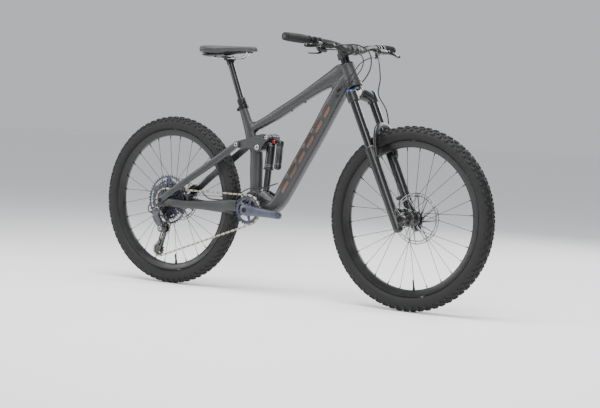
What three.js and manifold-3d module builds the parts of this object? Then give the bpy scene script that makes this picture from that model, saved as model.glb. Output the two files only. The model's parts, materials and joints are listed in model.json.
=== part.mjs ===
// A full-suspension trail bike, in millimetres, +X forward, +Y to the rider's left, +Z up.
// Lengths inside the model are measured from the rear axle along X and from the ground along Z.
// The exported group moves the whole bike so that its origin is on the ground at mid-wheelbase.
import * as THREE from "three";
import { mergeVertices } from "three/addons/utils/BufferGeometryUtils.js";
import Module from "manifold-3d";

const wasm = await Module();
wasm.setup();

// ---- driving dimensions ----
const WHEELBASE = 1170;
const TYRE_RADIUS = 355;
const SPOKES = 28;
const GAP = 0.3; // between pieces that touch

const BRACKET = [433, 341]; // crank axis, x and z
const MAIN_PIVOT = [437, 402];
const ROCKER_PIVOT = [461, 597];
const STAY_PIVOT = [361, 604];
const SHOCK_TOP = [505, 639];
const SHOCK_FOOT = [486, 410];
const CRANK_LENGTH = 175;
const CRANK_ANGLE = -3.3; // degrees, right arm forwards
const CHAIN_PLANE = -50; // y of the chain
const CHAINRING_PITCH = 60.75; // radius of the chain's pin circle on 30 teeth
const COG_PITCH = 48.65; // the same on the 24 tooth cog that carries the chain
const COG_SPACING = 3.65;
const TOOTH_DEPTH = 3.5; // the toothed discs end this far inside the pin circle
const COG_TEETH = [52, 42, 36, 32, 28, 24, 21, 18, 16, 14, 12, 10];
const UPPER_PULLEY = [3, 235];
const LOWER_PULLEY = [-26, 143];
const UPPER_PULLEY_PITCH = 24.3;
const LOWER_PULLEY_PITCH = 28.4;

const HEAD_ANGLE = 65;
const FORK_OFFSET = 44; // the front axle's distance ahead of the steering axis
const LEG_OFFSET = 18;
const LEG_SPREAD = 70;
const STANCHION_RADIUS = 17.5;
const LOWER_LEG_RADIUS = 21;
const LEG_BORE = 18.3; // the lower leg's, round a stanchion
const STANCHION_FOOT = 128; // its lower end, up the steering axis
const CROWN_TOP = 538;
const ARCH_HEIGHT = 380;
const STEERER_RADIUS = 14.3;

const SEAT_AXIS = [354.5, 758]; // a point of the seat post's axis
const SEAT_ANGLE = 67.5;
const POST_RADIUS = 13.5;

const BAR_HALF = 390;
const STEM_HEIGHT = 705; // of the bar clamp, up the steering axis
const STEM_REACH = 45.6;
const BAR_BEND = [861, 165, 1013.5];
const BAR_END = [821, BAR_HALF, 1020];
const BAR_RADIUS = 11.1;

// ---- finishes ----
const finish = (color, roughness, metalness) => ({ color, roughness, metalness });
const CARBON = finish(0x26272a, 0.55, 0.1);
const SATIN_BLACK = finish(0x141416, 0.4, 0.3);
const ANODISED = finish(0x1d1e21, 0.35, 0.8);
const STEEL = finish(0x8d9096, 0.3, 0.9);
const BLUE_GREY = finish(0x4c5260, 0.35, 0.8);
const RUBBER = finish(0x121212, 0.9, 0);
const PLASTIC = finish(0x17181a, 0.5, 0);
const SADDLE_GREY = finish(0x2b2c30, 0.65, 0);

// ---- geometry helpers ----
const point = (x, y, z) => new THREE.Vector3(x, y, z);
const FORWARD = point(1, 0, 0);
const LEFTWARD = point(0, 1, 0);
const UPWARD = point(0, 0, 1);

// A closed geometry as a manifold solid, its faces turned outwards.
function solid(geometry) {
  const bare = geometry.clone();
  bare.deleteAttribute("normal");
  bare.deleteAttribute("uv");
  const merged = mergeVertices(bare, 1e-3);
  const xyz = merged.attributes.position.array;
  const index = [];
  for (let i = 0; i < merged.index.count; i += 3) {
    const [a, b, c] = [0, 1, 2].map((k) => merged.index.getX(i + k));
    if (a !== b && b !== c && c !== a) index.push(a, b, c);
  }
  const corner = (i) => point(xyz[3 * i], xyz[3 * i + 1], xyz[3 * i + 2]);
  let volume = 0;
  for (let i = 0; i < index.length; i += 3)
    volume += corner(index[i]).dot(corner(index[i + 1]).cross(corner(index[i + 2])));
  if (volume < 0) index.reverse();
  const mesh = { numProp: 3, vertProperties: xyz, triVerts: new Uint32Array(index) };
  return new wasm.Manifold(new wasm.Mesh(mesh));
}

const joined = (...solids) => solids.reduce((a, b) => a.add(b));
const cut = (body, ...tools) => tools.reduce((a, b) => a.subtract(b), body);

function part(name, shape, look) {
  const mesh = shape.getMesh();
  const geometry = new THREE.BufferGeometry();
  geometry.setAttribute("position", new THREE.BufferAttribute(mesh.vertProperties, 3));
  geometry.setIndex(new THREE.BufferAttribute(mesh.triVerts, 1));
  geometry.computeVertexNormals();
  const made = new THREE.Mesh(geometry, new THREE.MeshStandardMaterial(look));
  made.name = name;
  return made;
}

// A round bar from one point to another.
function rod(from, to, radius, sides = 12, endRadius = radius) {
  const along = to.clone().sub(from);
  const shape = new THREE.CylinderGeometry(endRadius, radius, along.length(), sides);
  const turn = new THREE.Quaternion().setFromUnitVectors(LEFTWARD, along.clone().normalize());
  shape.applyQuaternion(turn);
  const middle = from.clone().add(to).multiplyScalar(0.5);
  return solid(shape.translate(middle.x, middle.y, middle.z));
}

// A round bar across the bike at a point of the side view.
const pin = ([x, z], y0, y1, radius, sides = 12) => rod(point(x, y0, z), point(x, y1, z), radius, sides);

function block([x0, y0, z0], [x1, y1, z1]) {
  const shape = new THREE.BoxGeometry(x1 - x0, y1 - y0, z1 - z0);
  return solid(shape.translate((x0 + x1) / 2, (y0 + y1) / 2, (z0 + z1) / 2));
}

// A box with a length along one direction of the side view, centred on a point.
function slab(centre, [length, width, height], tilt) {
  const shape = new THREE.BoxGeometry(length, width, height);
  shape.rotateY(-THREE.MathUtils.degToRad(tilt));
  return solid(shape.translate(centre.x, centre.y, centre.z));
}

// A flat plate with an outline in the side view, between two widths.
function plate(outline, y0, y1) {
  const shape = new THREE.Shape(outline.map(([x, z]) => new THREE.Vector2(x, z)));
  const made = new THREE.ExtrudeGeometry(shape, { depth: y1 - y0, bevelEnabled: false });
  return solid(made.rotateX(Math.PI / 2).translate(0, y1, 0));
}

// A body turned about the bike's width, from pairs of radius and y.
function turned(profile, segments, [x, z]) {
  const outline = profile.map(([r, y]) => new THREE.Vector2(r, y));
  outline.push(outline[0].clone());
  return solid(new THREE.LatheGeometry(outline, segments).translate(x, 0, z));
}

// A tube whose rounded section changes from station to station.
// A station is [x, y, z, half width along side, half depth across it].
function loft(stations, sides = 10, side = LEFTWARD, squareness = 0.75) {
  const rows = stations.length - 1;
  const shape = new THREE.CylinderGeometry(1, 1, 1, sides, rows);
  const place = shape.attributes.position;
  const centre = (i) => point(...stations[i].slice(0, 3));
  const soften = (v) => Math.sign(v) * Math.abs(v) ** squareness;
  for (let i = 0; i < place.count; i++) {
    const [u, height, v] = [place.getX(i), place.getY(i), place.getZ(i)];
    const row = Math.round((height + 0.5) * rows);
    const tangent = centre(Math.min(row + 1, rows)).sub(centre(Math.max(row - 1, 0))).normalize();
    const across = side.clone().addScaledVector(tangent, -side.dot(tangent)).normalize();
    const deep = across.clone().cross(tangent);
    const [halfWidth, halfDepth] = stations[row].slice(3);
    const at = centre(row);
    at.addScaledVector(across, soften(u) * halfWidth).addScaledVector(deep, soften(v) * halfDepth);
    place.setXYZ(i, at.x, at.y, at.z);
  }
  return solid(shape);
}

// A cable or hose of one radius through hand-placed points.
function cable(points, radius, steps = 20, sides = 8) {
  const path = new THREE.CatmullRomCurve3(points.map((p) => point(...p)));
  const ring = new THREE.Shape();
  for (let i = 0; i < sides; i++) {
    const turn = (2 * Math.PI * i) / sides;
    const [x, y] = [radius * Math.cos(turn), radius * Math.sin(turn)];
    if (i) ring.lineTo(x, y);
    else ring.moveTo(x, y);
  }
  return solid(new THREE.ExtrudeGeometry(ring, { steps, extrudePath: path, bevelEnabled: false }));
}

const mirrored = (shape) => shape.mirror([0, 1, 0]);

// ---- reference directions ----
const headTilt = THREE.MathUtils.degToRad(HEAD_ANGLE);
const STEER_UP = point(-Math.cos(headTilt), 0, Math.sin(headTilt));
const STEER_AHEAD = point(Math.sin(headTilt), 0, Math.cos(headTilt));

// A point of the fork: up the steering axis from the front axle's height, ahead of it, and across.
function fork(up, ahead, y = 0) {
  const at = point(WHEELBASE, y, TYRE_RADIUS);
  return at.addScaledVector(STEER_UP, up).addScaledVector(STEER_AHEAD, ahead - FORK_OFFSET);
}

const seatTilt = THREE.MathUtils.degToRad(SEAT_ANGLE);
const SEAT_UP = point(-Math.cos(seatTilt), 0, Math.sin(seatTilt));

// A point of the seat post's axis at a height above the ground.
function onSeatAxis(z) {
  const at = point(SEAT_AXIS[0], 0, SEAT_AXIS[1]);
  return at.addScaledVector(SEAT_UP, (z - SEAT_AXIS[1]) / SEAT_UP.z);
}

const shockUp = point(SHOCK_TOP[0] - SHOCK_FOOT[0], 0, SHOCK_TOP[1] - SHOCK_FOOT[1]);
const SHOCK_LENGTH = shockUp.length();
shockUp.normalize();
const onShock = (t, ahead = 0) =>
  point(SHOCK_FOOT[0], 0, SHOCK_FOOT[1])
    .addScaledVector(shockUp, t)
    .addScaledVector(point(shockUp.z, 0, -shockUp.x), ahead);

const cogPitch = (teeth) => 6.35 / Math.sin(Math.PI / teeth);

// ---- front triangle ----
const HEAD_BOTTOM = 564;
const HEAD_TOP = 664;
const TOP_TUBE_SLOPE = 0.565;

const headTubeOuter = (grow) =>
  rod(fork(HEAD_BOTTOM - grow, 0), fork(HEAD_TOP + grow, 0), 34 + grow, 20, 28 + grow);

function headTube() {
  const bore = rod(fork(HEAD_BOTTOM - 1, 0), fork(HEAD_TOP + 1, 0), 19, 16);
  return cut(headTubeOuter(0), bore);
}

const bracketShellOuter = (grow) => pin(BRACKET, -36.5 - grow, 36.5 + grow, 25 + grow, 20);

function bracketShell() {
  const shell = bracketShellOuter(0);
  const cups = joined(pin(BRACKET, -43.5, -36, 22.5), pin(BRACKET, 36, 43.5, 22.5));
  return cut(joined(shell, cups), pin(BRACKET, -50, 50, 15.2));
}

const SEAT_TUBE = [
  [354.5, 0, 758, 18, 19],
  [372.7, 0, 714, 18, 21],
  [389.7, 0, 673, 19, 22],
  [404, 0, 636, 20, 25],
  [427, 0, 588, 20, 26],
  [432, 0, 542, 20, 27],
  [433, 0, 498, 21, 27],
  [436, 0, 441, 22, 25],
  [436, 0, 375, 24, 24],
];
const seatTubeBody = () => loft([...SEAT_TUBE].reverse());

function seatTube() {
  const bosses = joined(pin(ROCKER_PIVOT, -33.4, 33.4, 17), pin(MAIN_PIVOT, -29.5, 29.5, 17));
  const bore = rod(onSeatAxis(605), onSeatAxis(770), 15.8, 16);
  const axleHole = pin(ROCKER_PIVOT, -40, 40, 8.3);
  return cut(joined(seatTubeBody(), bosses), bore, axleHole, bracketShellOuter(GAP));
}

function topTube() {
  const stations = [
    [394, 0, 674, 14, 15],
    [420, 0, 680, 17, 17],
    [452, 0, 694, 18, 18],
    [492, 0, 714, 19, 19],
    [536, 0, 738, 20, 22],
    [640, 0, 798, 21, 19.5],
    [724, 0, 846, 22, 21],
    [786, 0, 876, 24, 26],
    [834, 0, 897, 24, 29],
    [860, 0, 911, 24, 23],
  ];
  const bosses = [590, 654].map((x) => {
    const under = point(x, 0, 765 + (x - 590) * TOP_TUBE_SLOPE);
    const away = point(TOP_TUBE_SLOPE, 0, -1).normalize();
    return rod(under, under.clone().addScaledVector(away, 18), 7, 10);
  });
  const body = joined(loft(stations), ...bosses);
  return cut(body, seatTubeBody(), headTubeOuter(GAP), pin(ROCKER_PIVOT, -40, 40, 18));
}

function downTube() {
  const stations = [
    [440, 0, 340, 36, 21],
    [475, 0, 341, 34, 23],
    [522, 0, 352, 31, 26],
    [558, 0, 385, 29, 29],
    [595, 0, 445, 29, 31],
    [663, 0, 557, 29, 31],
    [730, 0, 667.5, 29, 31],
    [818, 0, 823, 28, 29],
    [837, 0, 848, 26, 26],
    [856, 0, 873, 24, 20],
  ];
  return loft(stations);
}

function shockMount() {
  const outline = [[473, 410], [479, 421], [491, 423], [514, 412], [545, 399], [538, 368], [486, 366]];
  const ear = plate(outline, 14, 23);
  return joined(ear, mirrored(ear), block([500, -15, 368], [538, 15, 392]));
}

const shockMountRoom = () => block([440, -23.3, 365.6], [560, 23.3, 430]);

function frontTriangle() {
  const head = headTube();
  const seat = seatTube();
  const top = topTube();
  const mount = cut(shockMount(), seat, bracketShellOuter(GAP));
  const grownTop = joined(top, top.translate([0, 0, -GAP]));
  const neighbours = [headTubeOuter(GAP), bracketShellOuter(GAP), grownTop, shockMountRoom(), seat];
  const down = cut(downTube(), ...neighbours);
  return [
    part("head_tube", head, CARBON),
    part("top_tube", top, CARBON),
    part("down_tube", down, CARBON),
    part("seat_tube", seat, CARBON),
    part("bottom_bracket_shell", bracketShell(), CARBON),
    part("shock_mount", mount, CARBON),
  ];
}

// ---- seat post and saddle ----
const DROPPER_FOOT = 610; // heights of the fixed tube's ends and of the moving tube's top
const COLLAR_TOP = 793;
const POST_TOP = 948;

function dropperOuter() {
  const tube = rod(onSeatAxis(DROPPER_FOOT), onSeatAxis(COLLAR_TOP), POST_RADIUS + 1.9, 16);
  const collar = rod(onSeatAxis(COLLAR_TOP - 23), onSeatAxis(COLLAR_TOP), 18.5, 16);
  const bore = rod(onSeatAxis(DROPPER_FOOT + 3), onSeatAxis(COLLAR_TOP + 3), POST_RADIUS + 0.4, 16);
  return cut(joined(tube, collar), bore);
}

function saddleRails() {
  const route = [[178, 26, 978.8], [186, 26, 974], [211, 24, 961], [266, 22, 958], [321, 20, 958], [358, 12, 966],
    [368, 10, 973.8]];
  const rail = cable(route, 3.5, 14, 6);
  const clamp = slab(point(272, 0, 958.5), [46, 56, 14], -2);
  return joined(rail, mirrored(rail), clamp);
}

function saddle() {
  const stations = [
    [147, 0, 997, 40, 5],
    [155, 0, 996, 58, 10],
    [180, 0, 996, 71, 14],
    [220, 0, 995, 64, 16],
    [265, 0, 993, 40, 17],
    [315, 0, 992, 25, 16],
    [370, 0, 992, 19, 15],
    [403, 0, 991, 15, 12],
    [411, 0, 990, 8, 6],
  ];
  return loft(stations, 14, LEFTWARD, 0.85);
}

function seatPost() {
  const postRoom = rod(onSeatAxis(900), onSeatAxis(POST_TOP + 0.4), POST_RADIUS + 1.5, 16);
  return [
    part("seatpost_stanchion", rod(onSeatAxis(752), onSeatAxis(POST_TOP), POST_RADIUS, 16), SATIN_BLACK),
    part("saddle_rails", cut(saddleRails(), postRoom), ANODISED),
    part("saddle", saddle(), SADDLE_GREY),
  ];
}

// ---- rear suspension ----
function chainstay() {
  const tube = loft([
    [20, -77.6, 350, 3.3, 17],
    [60, -76, 346, 6, 17],
    [120, -66, 343, 8, 16],
    [200, -57, 345, 9, 18],
    [290, -50, 347, 9, 25],
    [340, -47.5, 351, 9.5, 26],
    [361.5, -47.5, 351, 9.5, 26],
  ]);
  const outline = [[-22, 335], [-20, 368], [0, 375], [26, 370], [26, 333], [4, 318], [-14, 318]];
  const dropout = plate(outline, -80.8, -74.5);
  return cut(joined(tube, dropout), pin([0, 355], -90, -60, 7.9));
}

function chainstayYoke() {
  const outline = [[362, 334], [362, 377], [380, 378], [424, 414], [437, 420], [450, 415], [454, 402],
    [448, 389], [437, 385], [418, 383], [390, 350], [384, 334]];
  const arm = plate(outline, 30, 42);
  const cross = block([362, -31, 336], [383, 31, 374]);
  return joined(arm, mirrored(arm), cross);
}

function seatstay() {
  const tube = loft([
    [10, -84.8, 360, 3.2, 14],
    [50, -84.8, 390, 3.2, 14],
    [105, -75, 428, 7, 14],
    [160, -64, 467, 8, 15],
    [250, -54, 527, 8, 16],
    [325, -48.5, 579, 5.5, 15],
    [361, -47.8, 604, 4, 14],
  ]);
  const foot = pin([0, 355], -88, -81.6, 17);
  const eye = pin(STAY_PIVOT, -51.8, -43.8, 14);
  return cut(joined(tube, foot, eye), pin([0, 355], -100, -60, 7.9));
}

function rockerPlate() {
  const outline = [[347, 604], [352, 616], [361, 618.5], [405, 631], [465, 649], [488, 653], [508, 651],
    [517, 640], [516, 628], [500, 622], [487, 603], [475, 583], [458, 580], [436, 588], [427, 591],
    [366, 591], [352, 593]];
  const boss = pin(SHOCK_TOP, -36, -13, 11);
  return cut(joined(plate(outline, -42.5, -34), boss), pin(ROCKER_PIVOT, -60, 0, 8.3));
}

function shockShaft() {
  const eye = pin(SHOCK_FOOT, -12.5, 12.5, 12);
  return joined(eye, rod(onShock(5), onShock(120), 13.8, 16));
}

function shockBody() {
  const can = joined(rod(onShock(104), onShock(208), 18, 16), rod(onShock(98), onShock(105), 21.5, 16));
  const eye = pin(SHOCK_TOP, -12.5, 12.5, 13);
  const neck = rod(onShock(205), onShock(SHOCK_LENGTH - 4), 11);
  const bridge = rod(onShock(214, 0), onShock(214, 42), 9, 10);
  const reservoir = joined(rod(onShock(108, 44), onShock(222, 44), 15, 16));
  return cut(joined(can, eye, neck, bridge, reservoir), rod(onShock(90), onShock(184), 14.2, 16));
}

function rearSuspension() {
  const stay = chainstay();
  const upper = seatstay();
  const rocker = rockerPlate();
  return [
    part("chainstay_right", stay, CARBON),
    part("chainstay_left", mirrored(stay), CARBON),
    part("chainstay_yoke", chainstayYoke(), CARBON),
    part("seatstay_right", upper, CARBON),
    part("seatstay_left", mirrored(upper), CARBON),
    part("rocker_right", rocker, ANODISED),
    part("rocker_left", mirrored(rocker), ANODISED),
    part("rocker_axle", pin(ROCKER_PIVOT, -44, 44, 8), STEEL),
    part("shock_shaft", shockShaft(), SATIN_BLACK),
    part("shock_body", shockBody(), SATIN_BLACK),
    part("rear_axle", pin([0, 355], -89, 89, 7.5), ANODISED),
  ];
}

// ---- wheels ----
const TYRE_PROFILE = [
  [300, 17], [317, 30.5], [338, 31], [355, 9], [355, -9], [338, -31], [317, -30.5],
  [300, -17], [303, -13], [330, -26], [349, 0], [330, 26], [303, 13],
];
const RIM_PROFILE = [[272, -9], [299, -17.2], [299, -13.5], [286, 0], [299, 13.5], [299, 17.2], [272, 9]];
const WHEEL_SIDES = 32;
const FRONT_HUB = [
  [8.4, -54.5], [12, -54.5], [14, -27], [29, -26], [29, -21], [13, -19],
  [13, 19], [29, 21], [29, 26], [13, 27], [13, 54.5], [8.4, 54.5],
];
const REAR_HUB = [
  [9, -27], [29, -25], [29, -20], [14, -18], [14, 25], [29, 27], [29, 32], [13, 33], [13, 73.8], [9, 73.8],
];

// Spokes leave each flange in turn, half of them leaning forwards and half back.
function spokes(flanges, [x, z]) {
  const made = [];
  for (let i = 0; i < SPOKES; i++) {
    const onLeft = i % 2;
    const lean = i % 4 < 2 ? 1 : -1;
    const flange = flanges[onLeft] + 1.1 * lean;
    const rimTurn = (2 * Math.PI * (i + 0.5)) / SPOKES;
    const hubTurn = rimTurn + lean * 1.25;
    const at = (radius, turn, y) => point(x + radius * Math.sin(turn), y, z + radius * Math.cos(turn));
    made.push(rod(at(25, hubTurn, flange), at(270.5, rimTurn, onLeft ? 3 : -3), 1.2, 3));
  }
  return made;
}

function rotor(y, radius, [x, z]) {
  const half = 0.95;
  const arms = [];
  for (let i = 0; i < 5; i++) {
    const turn = (Math.PI * i) / 2.5;
    const at = (r, extra) => point(x + r * Math.sin(turn + extra), y, z + r * Math.cos(turn + extra));
    arms.push(loft([[...at(22, 0), half, 5], [...at(radius - 12, 0.35), half, 4]], 4, LEFTWARD, 1));
  }
  const band = [[radius - 16, y - half], [radius, y - half], [radius, y + half], [radius - 16, y + half]];
  const centre = [[13.8, y - half], [26, y - half], [26, y + half], [13.8, y + half]];
  return joined(turned(band, 28, [x, z]), turned(centre, 12, [x, z]), ...arms);
}

const FRONT_ROTOR = { y: 44.5, radius: 100 };
const REAR_ROTOR = { y: 55, radius: 90 };

function wheel(end, x, hub, flanges, disc) {
  const centre = [x, TYRE_RADIUS];
  return [
    part(end + "_tyre", turned(TYRE_PROFILE, WHEEL_SIDES, centre), RUBBER),
    part(end + "_rim", turned(RIM_PROFILE, WHEEL_SIDES, centre), SATIN_BLACK),
    part(end + "_hub_and_spokes", joined(turned(hub, 10, centre), ...spokes(flanges, centre)), ANODISED),
    part(end + "_rotor", rotor(disc.y, disc.radius, centre), STEEL),
  ];
}

// ---- drivetrain ----
function cassette() {
  const outline = [];
  COG_TEETH.forEach((teeth, i) => {
    const face = CHAIN_PLANE - (i - 5) * COG_SPACING;
    const radius = i < 5 ? cogPitch(teeth) + 3 : cogPitch(teeth) - TOOTH_DEPTH;
    outline.push([radius, face + 0.8], [radius, face - 0.8]);
    const isBesideChain = i === 4 || i === 5;
    if (isBesideChain) outline.push([40, face - 0.8], [40, face - 2.8]);
  });
  const inward = [[9, -73], [9, -28.5], [30, -28.5]];
  return turned([[34, -29.8], ...outline, ...inward], 16, [0, TYRE_RADIUS]);
}

// The point where the chain's straight run leaves a wheel, for a run from wheel a to wheel b.
// A turn of +1 is a wheel that the chain goes round clockwise, seen with +X to the right and +Z up.
function tangentAngle(a, b) {
  const [dx, dz] = [b.x - a.x, b.z - a.z];
  const far = Math.hypot(dx, dz);
  const lean = Math.asin((a.turn * a.r - b.turn * b.r) / far);
  return Math.atan2(dz, dx) - lean;
}

// The chain's centre line: arcs on its four wheels, joined by straight runs.
function chainLoop(grow) {
  const wheels = [
    { x: 0, z: TYRE_RADIUS, r: COG_PITCH, turn: 1 },
    { x: BRACKET[0], z: BRACKET[1], r: CHAINRING_PITCH, turn: 1 },
    { x: LOWER_PULLEY[0], z: LOWER_PULLEY[1], r: LOWER_PULLEY_PITCH, turn: 1 },
    { x: UPPER_PULLEY[0], z: UPPER_PULLEY[1], r: UPPER_PULLEY_PITCH, turn: -1 },
  ];
  const count = wheels.length;
  const points = [];
  wheels.forEach((w, i) => {
    const before = tangentAngle(wheels[(i + count - 1) % count], w);
    const after = tangentAngle(w, wheels[(i + 1) % count]);
    const normal = (angle) => angle + (w.turn * Math.PI) / 2;
    let sweep = normal(after) - normal(before);
    while (w.turn * sweep > 0) sweep -= w.turn * 2 * Math.PI;
    const steps = Math.max(2, Math.round(Math.abs(sweep) / 0.38));
    for (let k = 0; k <= steps; k++) {
      const turn = normal(before) + (sweep * k) / steps;
      const radius = w.r + w.turn * grow;
      points.push([w.x + radius * Math.cos(turn), w.z + radius * Math.sin(turn)]);
    }
  });
  return points;
}

function chain() {
  const layer = (outer, inner, y0, y1) =>
    cut(plate(chainLoop(outer), y0, y1), plate(chainLoop(inner), y0 - 1, y1 + 1));
  const y = CHAIN_PLANE;
  return joined(
    layer(4, -4, y - 2.6, y - 1.3),
    layer(1.6, -1.6, y - 1.4, y + 1.4),
    layer(4, -4, y + 1.3, y + 2.6),
  );
}

function chainring() {
  const [ring, y] = [CHAINRING_PITCH, CHAIN_PLANE];
  const band = [[47, y - 1], [ring - TOOTH_DEPTH, y - 1], [ring - TOOTH_DEPTH, y + 1], [47, y + 1]];
  const spider = [];
  for (let i = 0; i < 5; i++) {
    const turn = (2 * Math.PI * i) / 5 + 0.3;
    const at = (r) => [BRACKET[0] + r * Math.cos(turn), y, BRACKET[1] + r * Math.sin(turn)];
    spider.push(loft([[...at(18), 2, 9], [...at(49), 2, 6]], 4, LEFTWARD, 1));
  }
  const centre = [[15.2, y - 3], [22, y - 3], [22, y + 3], [15.2, y + 3]];
  return joined(turned(band, 30, BRACKET), turned(centre, 12, BRACKET), ...spider);
}

function crankArm(turnDegrees) {
  const turn = THREE.MathUtils.degToRad(turnDegrees);
  const at = (r, y) => [BRACKET[0] + r * Math.cos(turn), y, BRACKET[1] + r * Math.sin(turn)];
  const arm = loft([
    [...at(-22, -64), 6, 12],
    [...at(-10, -64), 7.5, 21],
    [...at(16, -65), 8, 22],
    [...at(60, -69), 7, 18.5],
    [...at(140, -76), 6.5, 15.5],
    [...at(CRANK_LENGTH, -77.5), 6.5, 15],
    [...at(CRANK_LENGTH + 13, -77.5), 6, 10],
  ]);
  const [x, , z] = at(CRANK_LENGTH, 0);
  const pedalBoss = pin([x, z], -84, -71.5, 13.5);
  return cut(joined(arm, pedalBoss), pin([x, z], -100, -50, 7.1));
}

function derailleurBody() {
  const pivot = pin([-8, 318], -92, -81, 12);
  const hangerTab = plate([[-18, 312], [-20, 326], [-4, 333], [4, 326], [0, 310]], -84, -81.2);
  const links = loft([
    [-10, -88, 318, 7, 15],
    [-22, -86, 296, 8, 18],
    [-12, -80, 268, 9, 18],
    [0, -72, 246, 9, 15],
  ]);
  const knuckle = pin(UPPER_PULLEY, -84, -57.5, 15);
  return joined(pivot, hangerTab, links, knuckle);
}

function derailleurCage() {
  const [ux, uz] = UPPER_PULLEY;
  const [lx, lz] = LOWER_PULLEY;
  const side = (y0, y1) => {
    const [y, half] = [(y0 + y1) / 2, (y1 - y0) / 2];
    const web = loft([[ux, y, uz, half, 9], [lx, y, lz, half, 8]], 4, LEFTWARD, 1);
    return joined(pin(UPPER_PULLEY, y0, y1, 11), pin(LOWER_PULLEY, y0, y1, 13), web);
  };
  const rivets = joined(pin(UPPER_PULLEY, -56, -44, 3.2, 8), pin(LOWER_PULLEY, -56, -44, 3.2, 8));
  return joined(side(-57.2, -54.4), side(-45.6, -43.4), rivets);
}

const pulley = (centre, pitch) =>
  turned([[3.7, CHAIN_PLANE - 2.6], [9, CHAIN_PLANE - 2.6], [pitch - TOOTH_DEPTH, CHAIN_PLANE - 1],
    [pitch - TOOTH_DEPTH, CHAIN_PLANE + 1], [9, CHAIN_PLANE + 2.6], [3.7, CHAIN_PLANE + 2.6]], 14, centre);

function drivetrain() {
  const spindle = pin(BRACKET, -66, 62, 14.5);
  const left = mirrored(crankArm(CRANK_ANGLE + 180));
  return [
    part("crank_arm_right", cut(crankArm(CRANK_ANGLE), pin(BRACKET, -66.3, -50, 15)), BLUE_GREY),
    part("crank_arm_left", joined(left, spindle), BLUE_GREY),
    part("chainring", chainring(), BLUE_GREY),
    part("cassette", cassette(), BLUE_GREY),
    part("drive_chain", chain(), STEEL),
    part("derailleur_body", derailleurBody(), SATIN_BLACK),
    part("derailleur_cage", derailleurCage(), SATIN_BLACK),
    part("upper_pulley", pulley(UPPER_PULLEY, UPPER_PULLEY_PITCH), PLASTIC),
    part("lower_pulley", pulley(LOWER_PULLEY, LOWER_PULLEY_PITCH), PLASTIC),
  ];
}

// ---- fork ----
function forkCrown() {
  const steerer = rod(fork(550, 0), fork(724, 0), STEERER_RADIUS, 16);
  const race = rod(fork(HEAD_BOTTOM - 10, 0), fork(HEAD_BOTTOM - 0.5, 0), 27, 20);
  const legs = [-LEG_SPREAD, LEG_SPREAD].map((y) =>
    joined(
      rod(fork(STANCHION_FOOT, LEG_OFFSET, y), fork(CROWN_TOP - 18, LEG_OFFSET, y), STANCHION_RADIUS, 12),
      rod(fork(CROWN_TOP - 46, LEG_OFFSET, y), fork(CROWN_TOP, LEG_OFFSET, y), 23.5, 12),
    ),
  );
  const span = (y, up, ahead, high, deep) => [...fork(up, ahead, y), high, deep];
  const half = [span(15, 540, 3, 16, 29), span(40, 531, 12, 19, 24), span(68, 517, 17, 21, 20)];
  const otherHalf = half.map(([x, y, ...rest]) => [x, -y, ...rest]).reverse();
  const bridge = loft([...otherHalf, ...half], 10, STEER_UP);
  return joined(bridge, steerer, race, ...legs);
}

function forkLowers() {
  const legs = [-LEG_SPREAD, LEG_SPREAD].map((y) => {
    const [foot, top] = [fork(-42, LEG_OFFSET, y), fork(299, LEG_OFFSET, y)];
    const tube = rod(foot, top, LOWER_LEG_RADIUS - 1, 12, LOWER_LEG_RADIUS);
    const boss = rod(fork(0, FORK_OFFSET, y - 13), fork(0, FORK_OFFSET, y + 13), 16, 12);
    const web = loft([[...fork(34, 26, y), 9, 14], [...fork(-22, 36, y), 9, 12]], 8);
    return joined(tube, boss, web);
  });
  const span = (y, up, ahead, deep) => [...fork(up, ahead, y), 8, deep];
  const half = [
    span(28, ARCH_HEIGHT, 62, 11),
    span(52, ARCH_HEIGHT - 22, 60, 11),
    span(66, ARCH_HEIGHT - 60, 50, 11),
    span(70, ARCH_HEIGHT - 110, 38, 12),
  ];
  const otherHalf = half.map(([x, y, ...rest]) => [x, -y, ...rest]).reverse();
  const arch = loft([...otherHalf, ...half], 8, STEER_AHEAD);
  const feet = [-LEG_SPREAD, LEG_SPREAD].map((y) =>
    loft([[...fork(262, 28, y), 14, 14], [...fork(298, 40, y), 11, 12]], 8));
  const bores = [-LEG_SPREAD, LEG_SPREAD].map((y) =>
    rod(fork(-36, LEG_OFFSET, y), fork(310, LEG_OFFSET, y), LEG_BORE, 12));
  const axleHole = rod(fork(0, FORK_OFFSET, -100), fork(0, FORK_OFFSET, 100), 7.9, 16);
  return cut(joined(...legs, arch, ...feet), ...bores, axleHole);
}

// A brake caliper that straddles a rotor's rim, at an angle above +X seen from the right.
function caliper([x, z], degrees, rotorY, rotorRadius) {
  const angle = THREE.MathUtils.degToRad(degrees);
  const outward = point(Math.cos(angle), 0, Math.sin(angle));
  const at = (radius) => point(x, rotorY, z).addScaledVector(outward, radius);
  const body = slab(at(rotorRadius - 12), [42, 30, 27], degrees - 90);
  const slot = slab(at(rotorRadius - 12), [50, 4, 40], degrees - 90);
  const bridge = slab(at(rotorRadius + 6), [42, 30, 9], degrees - 90);
  return joined(cut(body, slot), bridge);
}

function forkParts() {
  const { y, radius } = FRONT_ROTOR;
  const brake = caliper([WHEELBASE, TYRE_RADIUS], 171, y, radius);
  return [
    part("fork_crown_and_stanchions", forkCrown(), SATIN_BLACK),
    part("fork_lowers", forkLowers(), SATIN_BLACK),
    part("front_axle", rod(fork(0, FORK_OFFSET, -84), fork(0, FORK_OFFSET, 84), 7.5, 16), ANODISED),
    part("front_caliper", brake, SATIN_BLACK),
  ];
}

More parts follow.
